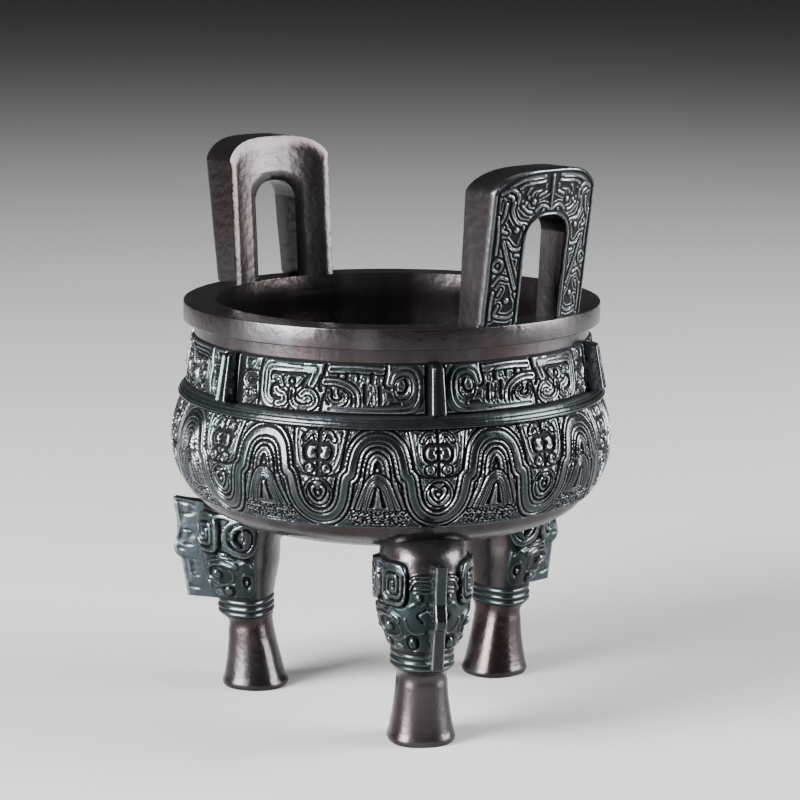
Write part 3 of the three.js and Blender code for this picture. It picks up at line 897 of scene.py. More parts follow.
class BellyCarving:
    """Half a wave of the belly band, from the middle of a crest to the middle of a trough."""

    solid_radius = 66.2
    wave_count = 12
    half_wave = math.pi * solid_radius / wave_count
    top = 28.8
    face = 0.95
    line = 0.45
    floor = 0.8
    crest_line: Points = [(-3.4, 26.0), (0, 26.6), (3.4, 25.9), (5.8, 23.6), (6.8, 20.8), (7.3, 18.2),
                          (7.7, 16.4), (9.0, 15.2), (9.6, 12.4), (10.2, 9.2), (11.6, 6.1), (14.0, 3.8),
                          (17.33, 2.9), (20.7, 3.8)]
    band_reach = 3.0

    def draw(self) -> CarvingSheet:
        """Draws the half wave.

        Returns:
            The sheet, in millimetres round from the crest and up from the belly's foot.
        """
        sheet = CarvingSheet((0, 0), (self.half_wave, self.top), self.floor)
        everywhere = (slice(None), slice(None))
        away = sheet.distance(smooth_path(self.crest_line), everywhere)
        sheet.near = away - self.band_reach
        self.crest(sheet)
        self.leaves(sheet)
        sheet.echo(0.6, 0.8, 0.26, 0.3, 2)
        self.lobes(sheet)
        self.shield(sheet)
        across = [0, 1.05, 1.2, 1.5, 1.65, 2.25, 2.4, 2.95, 3.15]
        levels = [1.0, 0.97, 0.25, 0.25, 0.97, 0.94, 0.0, 0.0, 0.6]
        sheet.height = np.where(away < self.band_reach, np.interp(away, across, levels), sheet.height)
        sheet.height = sheet.height * (1 - ramp((sheet.v - (self.top - 0.4)) / 0.2))
        sheet.height = np.maximum(sheet.height, self.face * ramp((0.75 - sheet.v) / 0.25))
        sheet.finish()
        return sheet

    def crest(self, sheet: CarvingSheet) -> None:
        """Under the crest: an arch over a dark tongue, nested arches over a raised one, and small curls."""
        f, g, k = self.face, self.line, 0.0
        arch = [(2.6, 15.0), (2.2, 18.0), (1.6, 20.2), (0, 21.5), (-1.6, 20.2)]
        sheet.ridge(arch, 1.9, f, g, 0.55)
        sheet.stroke([(0, 16.6), (0, 19.2)], 1.5, k)
        sheet.dome((0, 17.7), 0.5, 0.2, 0.6)
        sheet.ridge([(7.7, 6.6), (6.4, 9.4), (5.3, 12.4), (4.6, 15.6), (4.4, 18)], 1.1, f, g, 0.35)
        outer = [(5.9, 6.4), (4.5, 9.8), (3.2, 13.1), (1.8, 15.2), (0, 16.0), (-1.8, 15.2)]
        inner = [(4.1, 6.4), (3.1, 9.8), (2.1, 12.6), (1.2, 14.0), (0, 14.5), (-1.2, 14.0)]
        sheet.ridge(outer, 1.5, f, g, 0.4)
        sheet.ridge(inner, 1.2, f, g, 0.2)
        for side, level, soft in ((1.0, k, 0.2), (0.42, f, 0.3)):
            tip = 12.6 + 0.9 * side
            tongue = [(0, tip), (0.9 * side, tip - 0.8), (1.5 * side, 10.2), (2.5 * side + 0.1, 6.8)]
            sheet.fill(tongue + [(-u, v) for u, v in tongue[:0:-1]], level, soft, smooth=False)
        dots = np.random.default_rng(SEED)
        for row, v in enumerate((1.9, 3.5, 5.1)):
            for u in np.arange(0.4, 8.4, 1.75) + 0.85 * (row % 2):
                start = dots.uniform(0, 360)
                centre = (u + dots.uniform(-0.25, 0.25), v + dots.uniform(-0.2, 0.2))
                sheet.stroke(arc(centre, (0.6, 0.5), start, start + 240), 0.42, 0.05)

    def beside(self, points: Points) -> Points:
        """Points given by their distance from the middle of the trough."""
        return [(self.half_wave - u, v) for u, v in points]

    def leaves(self, sheet: CarvingSheet) -> None:
        """In the trough: a line beside the wave, a leaf down to a disc, and an arc over a lobe."""
        f, g, k = self.face, self.line, 0.0
        line = [(8.7, 28.4), (7.9, 24.4), (7.2, 20.4), (6.4, 17.0), (4.6, 15.4)]
        leaf = [(7.5, 28.2), (5.4, 28.3), (4.2, 27.4), (5.0, 25.6), (5.3, 23.6), (4.9, 21.2), (3.9, 19.7),
                (2.9, 18.8), (3.5, 17.3), (5.0, 17.9), (6.1, 20.0), (6.9, 23.2)]
        sheet.stroke(self.beside(line), 0.45, k)
        sheet.fill(self.beside(leaf), f, rings=((0.6, 0.35, g),))
        sheet.ridge(self.beside([(4.4, 25.6), (3.2, 27.2), (1.6, 27.4), (0.8, 25.6)]), 1.3, f, g, 0.35)

    def lobes(self, sheet: CarvingSheet) -> None:
        """Beside a dark middle line: a ball in a dark curl, and a disc below it."""
        f, g, k = self.face, self.line, 0.0
        mid = self.half_wave
        turns = np.linspace(0, 6, 12)
        curl = [(1.2, 24.4), (2.9, 24.5), (4.1, 22.8), (3.8, 20.7), (2.4, 19.7), (1.1, 20.0)]
        sheet.fill([(mid - 2.4 - 2.0 * math.cos(a), 22.3 + 2.2 * math.sin(a)) for a in turns], f)
        sheet.stroke(self.beside(curl), 1.1, k)
        sheet.stroke(self.beside([(0.6, 22.6), (1.3, 22.4)]), 0.9, k)
        sheet.dome((mid - 2.2, 22.3), 1.15, f - 0.2, 0.35)
        disc = (mid - 2.5, 17.7)
        sheet.stroke(arc(disc, (1.35, 1.2), 0, 340), 0.9, k, closed=True)
        sheet.dome(disc, 1.35, f - 0.15, 0.3)
        sheet.stroke(arc(disc, (0.6, 0.55), 90, 300), 0.3, g)
        sheet.stroke([(mid, 29), (mid, 16.2)], 1.2, k)
        sheet.stroke(self.beside([(6.2, 16.6), (3.6, 15.7), (0, 15.5), (-3.6, 15.7)]), 0.6, k)

    def shield(self, sheet: CarvingSheet) -> None:
        """Below the lobes: a heart with a dark hollow and a ball, within round contour ridges."""
        f, k = self.face, 0.0
        mid = self.half_wave
        away = np.hypot(sheet.u - mid, (sheet.v - 10.6) * 0.95)
        ridges = np.interp(away, [3.3, 3.4, 3.65, 3.75, 4.15, 4.25, 4.5, 4.6, 4.95, 5.05],
                           [f, 0.1, 0.1, f, f, 0.1, 0.1, f, f, k])
        inside = (away < 5.0) & (sheet.v < 15.1)
        sheet.height = np.where(inside, ridges, sheet.height)
        for size, level in ((1.0, k), (0.8, f), (0.5, k)):
            half = [(0, 1.5), (1.5, 2.6), (2.8, 1.5), (2.3, -0.8), (0, -2.9)]
            heart = [(u * size, 10.8 + v * size) for u, v in half]
            sheet.fill(self.beside(heart) + [(mid + u, v) for u, v in heart[-2:0:-1]], level)
        sheet.dome((mid, 10.6), 0.65, 0.3, 0.65)


@dataclass
class CarvedBands:
    """The carved rings of the bowl: the neck's panels and the belly's waves."""

    sizes: VesselSizes
    axis_y: float
    neck_columns: int = 1440
    neck_rows: int = 54
    belly_columns: int = 500
    belly_rows: int = 112
    backing: float = 2.6

    def ring(self, degrees: Array, z: Array, radius: Array, sheet: CarvingSheet, u: Array, v: Array,
             whole: bool) -> Skin:
        """A ring or a part of one, with a carved face and a plain back inside the wall.

        Args:
            degrees: Angle of each column.
            z: Height of each row.
            radius: Radius of the carving's face at each row.
            sheet: The carving.
            u: Place along the sheet of each column.
            v: Place up the sheet of each row.
            whole: Whether the columns close into a ring.

        Returns:
            The closed skin.
        """
        u, v = np.meshgrid(u, v, indexing="ij")
        height, stand, level = (sheet.sample(u, v, part) for part in (sheet.height, sheet.stand, sheet.tone))
        height = height * self.sizes.relief
        face = radius - self.sizes.relief
        back_z = np.array([z[-1], z[len(z) // 2], z[0]])
        back_r = np.interp(back_z, z, face) - self.backing
        out = np.concatenate([face[None, :] + height, np.repeat(back_r[None, :], len(degrees), 0)], 1)
        rows = np.concatenate([z, back_z])[None, :]
        points = revolve(out, rows, degrees, self.axis_y)
        extend = [(0, 0), (0, len(back_z))]
        return Skin(points, np.pad(level, extend), np.pad(stand, extend), np.array(Zone.CARVED.value),
                    round_columns=whole, round_rows=True)

    def neck(self, material: bpy.types.Material) -> bpy.types.Object:
        """The neck band: six panels, mirrored about each flange."""
        s = self.sizes
        carving = NeckCarving()
        sheet = carving.draw()
        degrees = np.arange(self.neck_columns) * 360 / self.neck_columns
        z = np.linspace(s.neck_foot, s.neck_top, self.neck_rows)
        half = s.leg_step / 2
        along = (degrees - s.first_leg) % s.leg_step
        along = np.where(along > half, s.leg_step - along, along)
        u = (half - along) / half * carving.length
        v = (z - s.neck_foot) / s.neck_height * carving.height
        skin = self.ring(degrees, z, s.neck_radius_at(z), sheet, u, v, True)
        return make_piece("carved_neck", [skin], material)

    def belly(self, material: bpy.types.Material) -> list[bpy.types.Object]:
        """The belly band in three equal parts, each four waves long."""
        s = self.sizes
        carving = BellyCarving()
        sheet = carving.draw()
        z = self.even_heights()
        v = (z - s.leg_height) / s.belly_height * carving.top
        half = s.wave_step / 2
        pieces = []
        for part in range(s.leg_count):
            start = s.first_leg + half + part * s.leg_step
            degrees = np.linspace(start, start + s.leg_step, self.belly_columns)
            along = (degrees - s.first_leg - half) % s.wave_step
            u = np.minimum(along, s.wave_step - along) / half * carving.half_wave
            skin = self.ring(degrees, z, s.belly_radius_at(z), sheet, u, v, False)
            pieces.append(make_piece(f"carved_belly_{part + 1}", [skin], material))
        return pieces

    def even_heights(self) -> Array:
        """Heights of the belly's rows, evenly spaced along its curved face."""
        s = self.sizes
        z = np.linspace(s.leg_height, s.belly_top, 400)
        length = np.concatenate([[0], np.cumsum(np.hypot(np.diff(z), np.diff(s.belly_radius_at(z))))])
        return np.interp(np.linspace(0, length[-1], self.belly_rows), length, z)


@dataclass
class NeckFlanges:
    """The six flanges that stand out of the neck, wider at the foot and hollowed a little in front."""

    sizes: VesselSizes
    axis_y: float
    count: int = 6
    top_width: float = 3.3
    foot_width: float = 4.2
    reach: float = 4.3

    def one(self, degrees: float) -> Skin:
        """One flange: a section with rounded front corners, carried up the neck."""
        s = self.sizes
        share = np.linspace(0, 1, 40)
        z = s.neck_foot + 0.15 + share * (s.neck_height - 0.3)
        half = (self.foot_width + (self.top_width - self.foot_width) * share) / 2
        front = s.neck_radius_at(z) + self.reach - 0.7 * share
        back = s.neck_radius_at(z) - 3.0
        corner = rounded([(-1, 0), (-1, 1), (1, 1), (1, 0)], 0.16, 4)
        across = np.concatenate([corner[:6, 0], np.linspace(-0.7, 0.7, 9), corner[6:, 0]])
        out = np.concatenate([corner[:6, 1], np.ones(9), corner[6:, 1]])
        dip = np.where(np.abs(across) < 0.75, 0.35 * (1 - (across / 0.75) ** 2), 0) * (out > 0.99)
        soften = 1 - 0.25 * ramp((np.abs(share - 0.5) - 0.46) / 0.04)
        radius = back[:, None] + (front - back)[:, None] * out[None, :] * soften[:, None] - dip[None, :]
        side = across[None, :] * half[:, None]
        turn = math.radians(degrees)
        x = radius * math.cos(turn) - side * math.sin(turn)
        y = radius * math.sin(turn) + side * math.cos(turn) + self.axis_y
        points = np.stack([x, y, np.repeat(z[:, None], len(across), 1)], -1)
        # Thin bright lines beside the front corners: worn metal and a painted highlight.
        edge = np.exp(-(((np.abs(across) - 0.85) / 0.15) ** 2)) * (out > 0.6)
        stand = np.repeat((0.3 * edge)[None, :], len(z), 0)
        zone = np.array(Zone.CARVED.value)
        return Skin(points, np.full(stand.shape, 0.8), stand, zone, round_columns=False, round_rows=True)

    def build(self, material: bpy.types.Material) -> bpy.types.Object:
        """Makes the six flanges as one piece."""
        step = 360 / self.count
        skins = [self.one(self.sizes.first_leg + i * step) for i in range(self.count)]
        return make_piece("neck_flanges", skins, material, 60)


# The legs


class MaskCarving:
    """Half of a leg's mask, from the middle of its front round to its back."""

    unit = 14.5 * math.pi / 180
    foot = 21.0
    top = 59.0
    plate = 0.55
    dark = 0.0
    horn_rise = 1.8
    brow: Points = [(0, 52.1), (4.6, 52.0), (6.4, 51.2), (8.0, 48.4), (9.8, 45.6), (12.2, 44.0), (16, 43.2),
                    (21, 42.8)]

    def draw(self) -> CarvingSheet:
        """Draws the half mask.

        Returns:
            The sheet, in millimetres round from the front and up from the ground. Heights are millimetres.
        """
        sheet = CarvingSheet((0, self.foot), (46, self.top), 0.0)
        f, k = self.plate, self.dark
        cheek = [(26.5, 42.6), (31, 41), (32.4, 36), (31.4, 31.4), (28, 29.3), (-3, 29.2), (-3, 52.1)]
        sheet.fill([*self.brow[1:], *cheek], f, smooth=False, soft=0.5)
        sheet.twin(self.brow, 1.9, f + 0.75, f + 0.2)
        for low in (50.3, 49.0, 47.7):
            sheet.stroke([(1.4, low), (3.4, low + 0.15), (5.6, low - 0.1)], 0.72, f + 0.4)
        sheet.dome((4.2, 46.2), 1.15, f, 0.7)
        sheet.stroke([(1.9, 44.6), (3.6, 43.9), (5.6, 44.4), (7.4, 43.2)], 0.6, f + 0.35)
        sheet.stroke([(2.0, 42.6), (4.6, 41.0), (2.8, 38.8)], 0.6, k)
        sheet.stroke([(2.2, 35.6), (5.4, 35.2), (7.6, 36.6), (8.8, 39.4)], 0.7, f + 0.4)
        self.curl(sheet, (6.6, 32.1), 1.7)
        self.curl(sheet, (18.4, 31.5), 1.5)
        self.curl(sheet, (26.2, 34.6), 1.1)
        sheet.stroke(arc((26.2, 34.6), (3.1, 2.9), -70, 200), 0.7, f + 0.3)
        sheet.stroke([(23.4, 40.6), (26.4, 41.2), (29.2, 39.4)], 0.8, f + 0.4)
        sheet.stroke([(11, 30.4), (13.4, 31.2), (15.4, 30.2)], 0.7, f + 0.4)
        self.eye(sheet)
        self.scroll(sheet, (12.7, 49.6), (4.6, 6.3), 0.55, -200, 800)
        self.scroll(sheet, (25.3, 48.9), (6.8, 6.3), 0.85, 60, 400)
        sheet.stroke([(23.2, 50.6), (22.7, 48.6), (24, 46.7)], 1.8, self.dark)
        sheet.dome((24.5, 48.6), 1.0, 0.7, 0.8)
        sheet.stroke([(15.5, 54.6), (18.6, 55.3), (21.6, 54.4)], 1.6, self.horn_rise - 0.1, soft=0.5)
        sheet.finish(0.42, 0.3)
        return sheet

    def curl(self, sheet: CarvingSheet, centre: tuple[float, float], radius: float) -> None:
        """A round boss in a dark ring."""
        sheet.stroke(arc(centre, (radius + 0.5, radius + 0.5), 0, 345), 0.7, self.dark, closed=True)
        sheet.dome(centre, radius, self.plate - 0.1, 1.0)

    def scroll(self, sheet: CarvingSheet, centre: tuple[float, float], half: tuple[float, float],
               power: float, start: float, sweep: float) -> None:
        """One scroll of the horn: a plate round or square by its power, cut with a spiral groove.

        Args:
            sheet: The sheet it is drawn on.
            centre: Its centre.
            half: Half its width and half its height.
            power: How round it is: 1 is an oval, less is squarer.
            start: Angle in degrees where the groove starts.
            sweep: How far the groove turns, in degrees.
        """

        def round_square(degrees: Array, shrink: Array | float) -> Points:
            """Points of the rounded square at some angles, drawn in by a share."""
            c, s = np.cos(np.radians(degrees)), np.sin(np.radians(degrees))
            u = centre[0] + half[0] * shrink * np.sign(c) * np.abs(c) ** power
            v = centre[1] + half[1] * shrink * np.sign(s) * np.abs(s) ** power
            return [tuple(p) for p in np.stack([u, v], -1)]

        sheet.stroke(round_square(np.arange(0, 360, 15), 1.05), 0.9, self.dark, closed=True)
        sheet.fill(round_square(np.arange(0, 360, 15), 1.0), self.horn_rise, soft=0.45)
        degrees = np.arange(start, start + sweep, 15)
        shrink = np.linspace(0.8, max(0.8 - sweep / 1180, 0.1), len(degrees))
        sheet.stroke(round_square(degrees, shrink), 0.45, self.horn_rise - 0.9)

    def eye(self, sheet: CarvingSheet) -> None:
        """The round eye in its dark socket, and the leaf above it."""
        f, k = self.plate, self.dark
        sheet.stroke([(11.6, 39.2), (14.4, 40.3), (18, 41), (21.4, 40)], 2.3, f + 0.65, soft=0.4)
        sheet.stroke([(13, 39.9), (15.6, 40.7), (18.4, 41), (20.6, 40.4)], 0.6, f + 0.1)
        socket = [(10.6, 35.6), (12, 38), (15, 39.4), (18.4, 39.2), (20.4, 37.4), (20, 34.8), (16.8, 33.8),
                  (13, 34.2)]
        sheet.stroke(socket, 1.0, f + 0.5, closed=True)
        sheet.fill(socket, k, soft=0.4)
        sheet.dome((15.4, 36.9), 1.6, 0.2, 1.5)
        sheet.stroke([(9.2, 34), (12, 32.9), (16, 33), (21, 33.6)], 0.7, f + 0.35)


@dataclass
class MaskLegs:
    """The three legs: a waisted round foot, rings at the knee and a broad masked hip."""

    sizes: VesselSizes
    axis_y: float
    columns: int = 216
    flange_thickness: float = 3.7
    flange_foot: float = 26.6
    ring_heights: tuple[float, ...] = (23.4, 25.3, 27.2)
    ring_rise: float = 0.36
    ring_half: float = 0.5
    mask_end: float = 142.0
    squareness: float = 0.9
    floor_gap: float = 0.9

    def rings(self, z: Array) -> Array:
        """Share of a knee ring at each height: a bell curve about each ring."""
        return sum(np.exp(-(((z - h) / self.ring_half) ** 2)) for h in self.ring_heights)

    def heights(self) -> Array:
        """Heights of the rows: close together over the mask, wider over the foot and the top."""
        foot = np.linspace(0.35, 21.0, 26)
        mask = np.linspace(21.0, 58.0, 128)[1:]
        top = np.linspace(58.0, self.sizes.leg_height - 1.6, 10)[1:]
        return np.concatenate([[0.0], foot, mask, top])

    def section(self, z: Array) -> tuple[Array, Array, Array]:
        """Reach towards the axis, reach away from it and half width of a leg at each height."""
        places = [0, 0.7, 3.4, 10, 17, 21, 22.6, 27.8, 31, 34, 38, 44, 50, 54, 58, 61, 65]
        inward = [9.6, 10.0, 9.0, 7.2, 5.4, 4.8, 4.8, 4.8, 5.2, 5.7, 6.3, 6.6, 7.6, 8.5, 9.5, 10, 10]
        outward = [9.6, 10.0, 9.5, 8.6, 8.3, 8.6, 10.6, 11.4, 13.0, 14.0, 15.4, 16.2, 16.7, 16.7, 15.6,
                   12.5, 7]
        half = [9.4, 9.85, 9.4, 8.3, 7.6, 7.6, 8.7, 9.0, 10.1, 11.0, 12.3, 12.6, 12.7, 12.6, 12.1, 11.3, 9.5]
        ring = self.ring_rise * self.rings(z)
        return tuple(through(z, places, values) + ring for values in (inward, outward, half))

    def angles(self) -> Array:
        """Angles of the columns round a leg: close together in front, wider behind."""
        share = np.arange(self.columns) / self.columns * 2 - 1
        return 180 * share * (0.72 + 0.28 * share**2)

    def bowl_floor(self, radius: Array) -> Array:
        """Height of the bowl's inner floor at a radius: an oval dish inside the wall."""
        s = self.sizes
        inner = s.underside_radius - s.wall
        foot = s.leg_height + s.wall * 0.6
        deep = s.underside_depth - s.wall * 0.4
        return foot - deep * np.sqrt(np.clip(1 - (radius / inner) ** 2, 0, 1))

    def one(self, degrees: float, sheet: CarvingSheet) -> Skin:
        """One leg: ovals carried up its heights, pushed out by the mask's carving."""
        s = self.sizes
        z = self.heights()
        angle = self.angles()
        inward, outward, half = self.section(z)
        turn = np.radians(angle)[:, None]
        cosine = np.sign(np.cos(turn)) * np.abs(np.cos(turn)) ** self.squareness
        sine = np.sign(np.sin(turn)) * np.abs(np.sin(turn)) ** self.squareness
        reach = np.where(cosine > 0, outward[None, :], inward[None, :])
        u, v = np.meshgrid(np.abs(angle) * MaskCarving.unit, z, indexing="ij")
        behind = ramp((self.mask_end - np.abs(angle)) / 10)[:, None]
        height = sheet.sample(u, v) * behind
        x = s.leg_circle_radius + cosine * (reach + height)
        y = sine * (half[None, :] + height)
        lean = math.radians(degrees)
        px = x * math.cos(lean) - y * math.sin(lean)
        py = x * math.sin(lean) + y * math.cos(lean)
        top = np.minimum(z[None, :], self.bowl_floor(np.hypot(px, py)) - self.floor_gap)
        points = np.stack([px, py + self.axis_y, top], -1)
        knee = ramp((z - 22.2) / 0.5) * ramp((28.8 - z) / 0.5)
        zone = np.maximum(knee[None, :], self.mask_zone(u, v) * behind)
        ring = self.rings(z)
        stand = sheet.sample(u, v, sheet.stand) * behind
        tone = sheet.sample(u, v, sheet.tone)
        level = np.where(v < 28.6, 0.1 + 0.9 * ring[None, :], 1 + (tone - 1) * behind)
        # The mask's ridges and the knee rings are lightened: worn metal and a painted highlight.
        edge = 0.6 * stand + 0.12 * (ring * (z < 28.6))[None, :]
        return Skin(points, np.where(zone > 0.02, level, 1.0), edge, zone)

    @staticmethod
    def mask_zone(u: Array, v: Array) -> Array:
        """Where the mask's dark finish lies: below the brow, over the horn, and on to the cheek."""
        brow = np.interp(u, [0, 5.5, 7.6, 8.0, 30, 32.6], [52.6, 52.6, 51.6, 56.4, 56.4, 50])
        return ramp((brow - v) / 0.6 + 0.5) * ramp((v - 28.4) / 0.5) * ramp((33.4 - u) / 0.8)

    def flange(self, degrees: float) -> Skin:
        """The flange down a leg's front, with a step half way and hooked grooves on its sides."""
        share = np.linspace(0, 1, 96)
        low = self.flange_foot
        reach = np.interp(low + share * 30.9, [26.6, 38.3, 39.6, 41.5, 46.5, 50, 57.5],
                          [65.9, 68.0, 69.9, 70.6, 69.3, 69.3, 70.65])
        back, side_start = 50.0, 52.0
        faces = np.linspace(0, 0.975, 22)
        front = np.array([-0.96, -0.82, -0.6, 0, 0.6, 0.82, 0.96])
        across = np.concatenate([np.full(len(faces), -1.0), front, np.full(len(faces), 1.0)])
        along = np.concatenate([faces, 1 - 0.012 * (np.abs(front) > 0.9), faces[::-1]])
        out = back + (reach[:, None] - back) * along[None, :]
        top = 56.5 + (np.maximum(out, 60.6) - 60.6) * 0.09
        z = low + share[:, None] * (top - low)
        sheet = self.flange_carving()
        cut = sheet.sample(out - side_start, z - low)
        half = self.flange_thickness / 2 * (1 - 0.12 * ramp((out - 62) / 9))
        side = across[None, :] * (half - 0.45 * (1 - cut) * (np.abs(across)[None, :] > 0.99))
        turn = math.radians(degrees)
        x = out * math.cos(turn) - side * math.sin(turn)
        y = out * math.sin(turn) + side * math.cos(turn) + self.axis_y
        # A bright line along the front corners of the sides, and on the grooves' ridges: worn metal and
        # painted highlight.
        edge = 0.3 * np.where(np.abs(across) < 0.7, 0, np.exp(-(((along - 0.985) / 0.02) ** 2)))[None, :]
        edge = edge + sheet.sample(out - side_start, z - low, sheet.stand) * 0.5
        points = np.stack([x, y, z], -1)
        zone = np.array(Zone.CARVED.value)
        return Skin(points, 0.2 + 0.65 * cut, edge, zone, round_columns=False, round_rows=True)

    @staticmethod
    def flange_carving() -> CarvingSheet:
        """The grooves on a flange's side: two hooks and a border."""
        sheet = CarvingSheet((0, 0), (19, 32), 1.0)
        sheet.stroke([(17, 29.6), (12.4, 28.9), (12.2, 26.4), (15.4, 25.6)], 0.5, 0.0)
        sheet.stroke([(15.7, 29), (15.4, 22.8), (16.4, 17.4), (16.2, 14.6)], 0.5, 0.0)
        sheet.stroke([(14.6, 20.8), (12.6, 20.4), (12.4, 16.6), (14.6, 16.2)], 0.5, 0.0)
        sheet.stroke([(14.6, 12), (13, 4.0), (10.4, 2.6)], 0.5, 0.0)
        sheet.stroke([(11.8, 11.6), (12, 8.6), (10.8, 6.6)], 0.5, 0.0)
        sheet.finish()
        return sheet

    def build(self, material: bpy.types.Material) -> list[bpy.types.Object]:
        """Makes each leg with its flange as one piece."""
        sheet = MaskCarving().draw()
        pieces = []
        for i in range(self.sizes.leg_count):
            degrees = self.sizes.first_leg + i * self.sizes.leg_step
            skins = [self.one(degrees, sheet), self.flange(degrees)]
            pieces.append(make_piece(f"mask_leg_{i + 1}", skins, material, 50))
        return pieces


# The ears


class EarCarving:
    """Half of an ear's outer face, from its middle line outwards."""

    face = 0.92
    line = 0.4
    deep = 0.0

    def __init__(self, ears: "Ears") -> None:
        """Keeps the ear whose outline the carving follows."""
        self.ears = ears

    def draw(self) -> CarvingSheet:
        """Draws the half face.

        Returns:
            The sheet, in millimetres across from the middle and up from the rim.
        """
        ears = self.ears
        sheet = CarvingSheet((0, -1), (ears.half_width + 0.4, ears.height + 0.4), 0.1)
        outer, opening = ears.outline(1.0), ears.outline(0.0)
        everywhere = (slice(None), slice(None))
        edge = np.minimum(sheet.distance(outer, everywhere), sheet.distance(opening, everywhere))
        sheet.near = edge - 1.6
        self.head(sheet)
        self.middle(sheet)
        self.tail(sheet)
        sheet.echo(0.55, 0.8, 0.34, self.face - 0.3, 1)
        sheet.stroke([(0.0, 31.5), (0.0, 43)], 0.9, self.face)
        sheet.stroke([(1.5, 37.5), (1.5, 42)], 1.3, self.deep)
        for centre in ((6.4, 34.7), (11.5, 27), (12.5, 7.1)):
            sheet.stroke(arc(centre, (1.25, 1.2), 0, 345), 0.6, self.deep, closed=True)
            sheet.dome(centre, 0.85, 0.5, 0.5)
        border = np.interp(edge, [0, 0.9, 1.1, 1.5, 1.7], [1.0, 0.95, 0.0, 0.0, 0.2])
        sheet.height = np.where(edge < 1.6, border, sheet.height)
        sheet.finish()
        return sheet

    def ridges(self, sheet: CarvingSheet, paths: tuple[tuple[float, Points], ...]) -> None:
        """Draws ridges of given widths, each with a thin groove and a deep outline."""
        for width, path in paths:
            sheet.ridge(path, 0.88 * width, self.face, self.line, 0.28)

    def head(self, sheet: CarvingSheet) -> None:
        """The beast's head beside the middle stem, with its horn, brow, eye and curled jaws."""
        self.ridges(sheet, (
            (1.1, [(3.2, 41.8), (10.4, 41), (13.9, 39.6), (15.9, 38)]),
            (0.9, [(3.1, 40.4), (9.3, 39.8), (11.6, 38.8)]),
            (1.1, [(17.1, 37.5), (14.3, 38.5), (11.8, 36.8), (12, 34.7)]),
            (0.9, [(15.3, 37), (13.7, 36.3), (13.5, 34.7)]),
            (1.2, [(13, 34.7), (13.3, 32.2), (11.5, 29.3), (8.6, 28.5)]),
            (0.9, [(8.4, 36), (9.3, 34.3), (10.3, 33.5)]),
            (0.9, [(10.3, 33.7), (8.6, 32.2), (7, 31.8)]),
            (1.0, [(5.4, 32.2), (3.4, 33.5), (0.9, 32.6), (1.1, 31.2), (3.2, 31), (2.8, 32.2)]),
            (0.9, [(4.7, 36.4), (1.9, 37.5)]),
            (0.9, [(15.4, 34.6), (15.7, 31.6), (16.6, 29.6)]),
        ))
        sheet.stroke([(9.2, 39.0), (10, 36.4), (8.4, 35.1)], 0.9, self.deep)
        sheet.stroke([(3.4, 38.8), (6.6, 38.4), (8, 37.2)], 0.6, self.deep)

    def middle(self, sheet: CarvingSheet) -> None:
        """The middle of the side: a round eye among curls and a slanting double band."""
        self.ridges(sheet, (
            (0.9, [(15.7, 28), (16.7, 27.2), (14.6, 26.4)]),
            (0.8, [(9.3, 28), (8.9, 27)]),
            (1.0, [(14.3, 23.8), (12, 21.6), (9.6, 22), (9.2, 23.8)]),
            (1.2, [(15.3, 23.8), (13, 17.6), (10.2, 10.5)]),
            (0.8, [(17.6, 31), (17.1, 25), (17.2, 20.5)]),
            (0.8, [(11.2, 20), (9.4, 19.4), (9.4, 15.9)]),
        ))
        self.ridges(sheet, ((0.9, arc((16.4, 17.2), (1.5, 1.6), -60, 300)),))

    def tail(self, sheet: CarvingSheet) -> None:
        """The foot of the side: a round eye among curls."""
        self.ridges(sheet, (
            (1.0, [(17.3, 11.7), (15.5, 13.8), (12.9, 13.2)]),
            (0.8, [(10, 8.8), (9.2, 7.5)]),
            (1.0, [(15, 5.6), (15.8, 3.1), (12, 2.2), (9.6, 3.3)]),
            (0.9, [(17, 9.6), (17.2, 6), (17.1, 2)]),
            (0.8, [(14.6, 10.4), (15.4, 8.8)]),
        ))


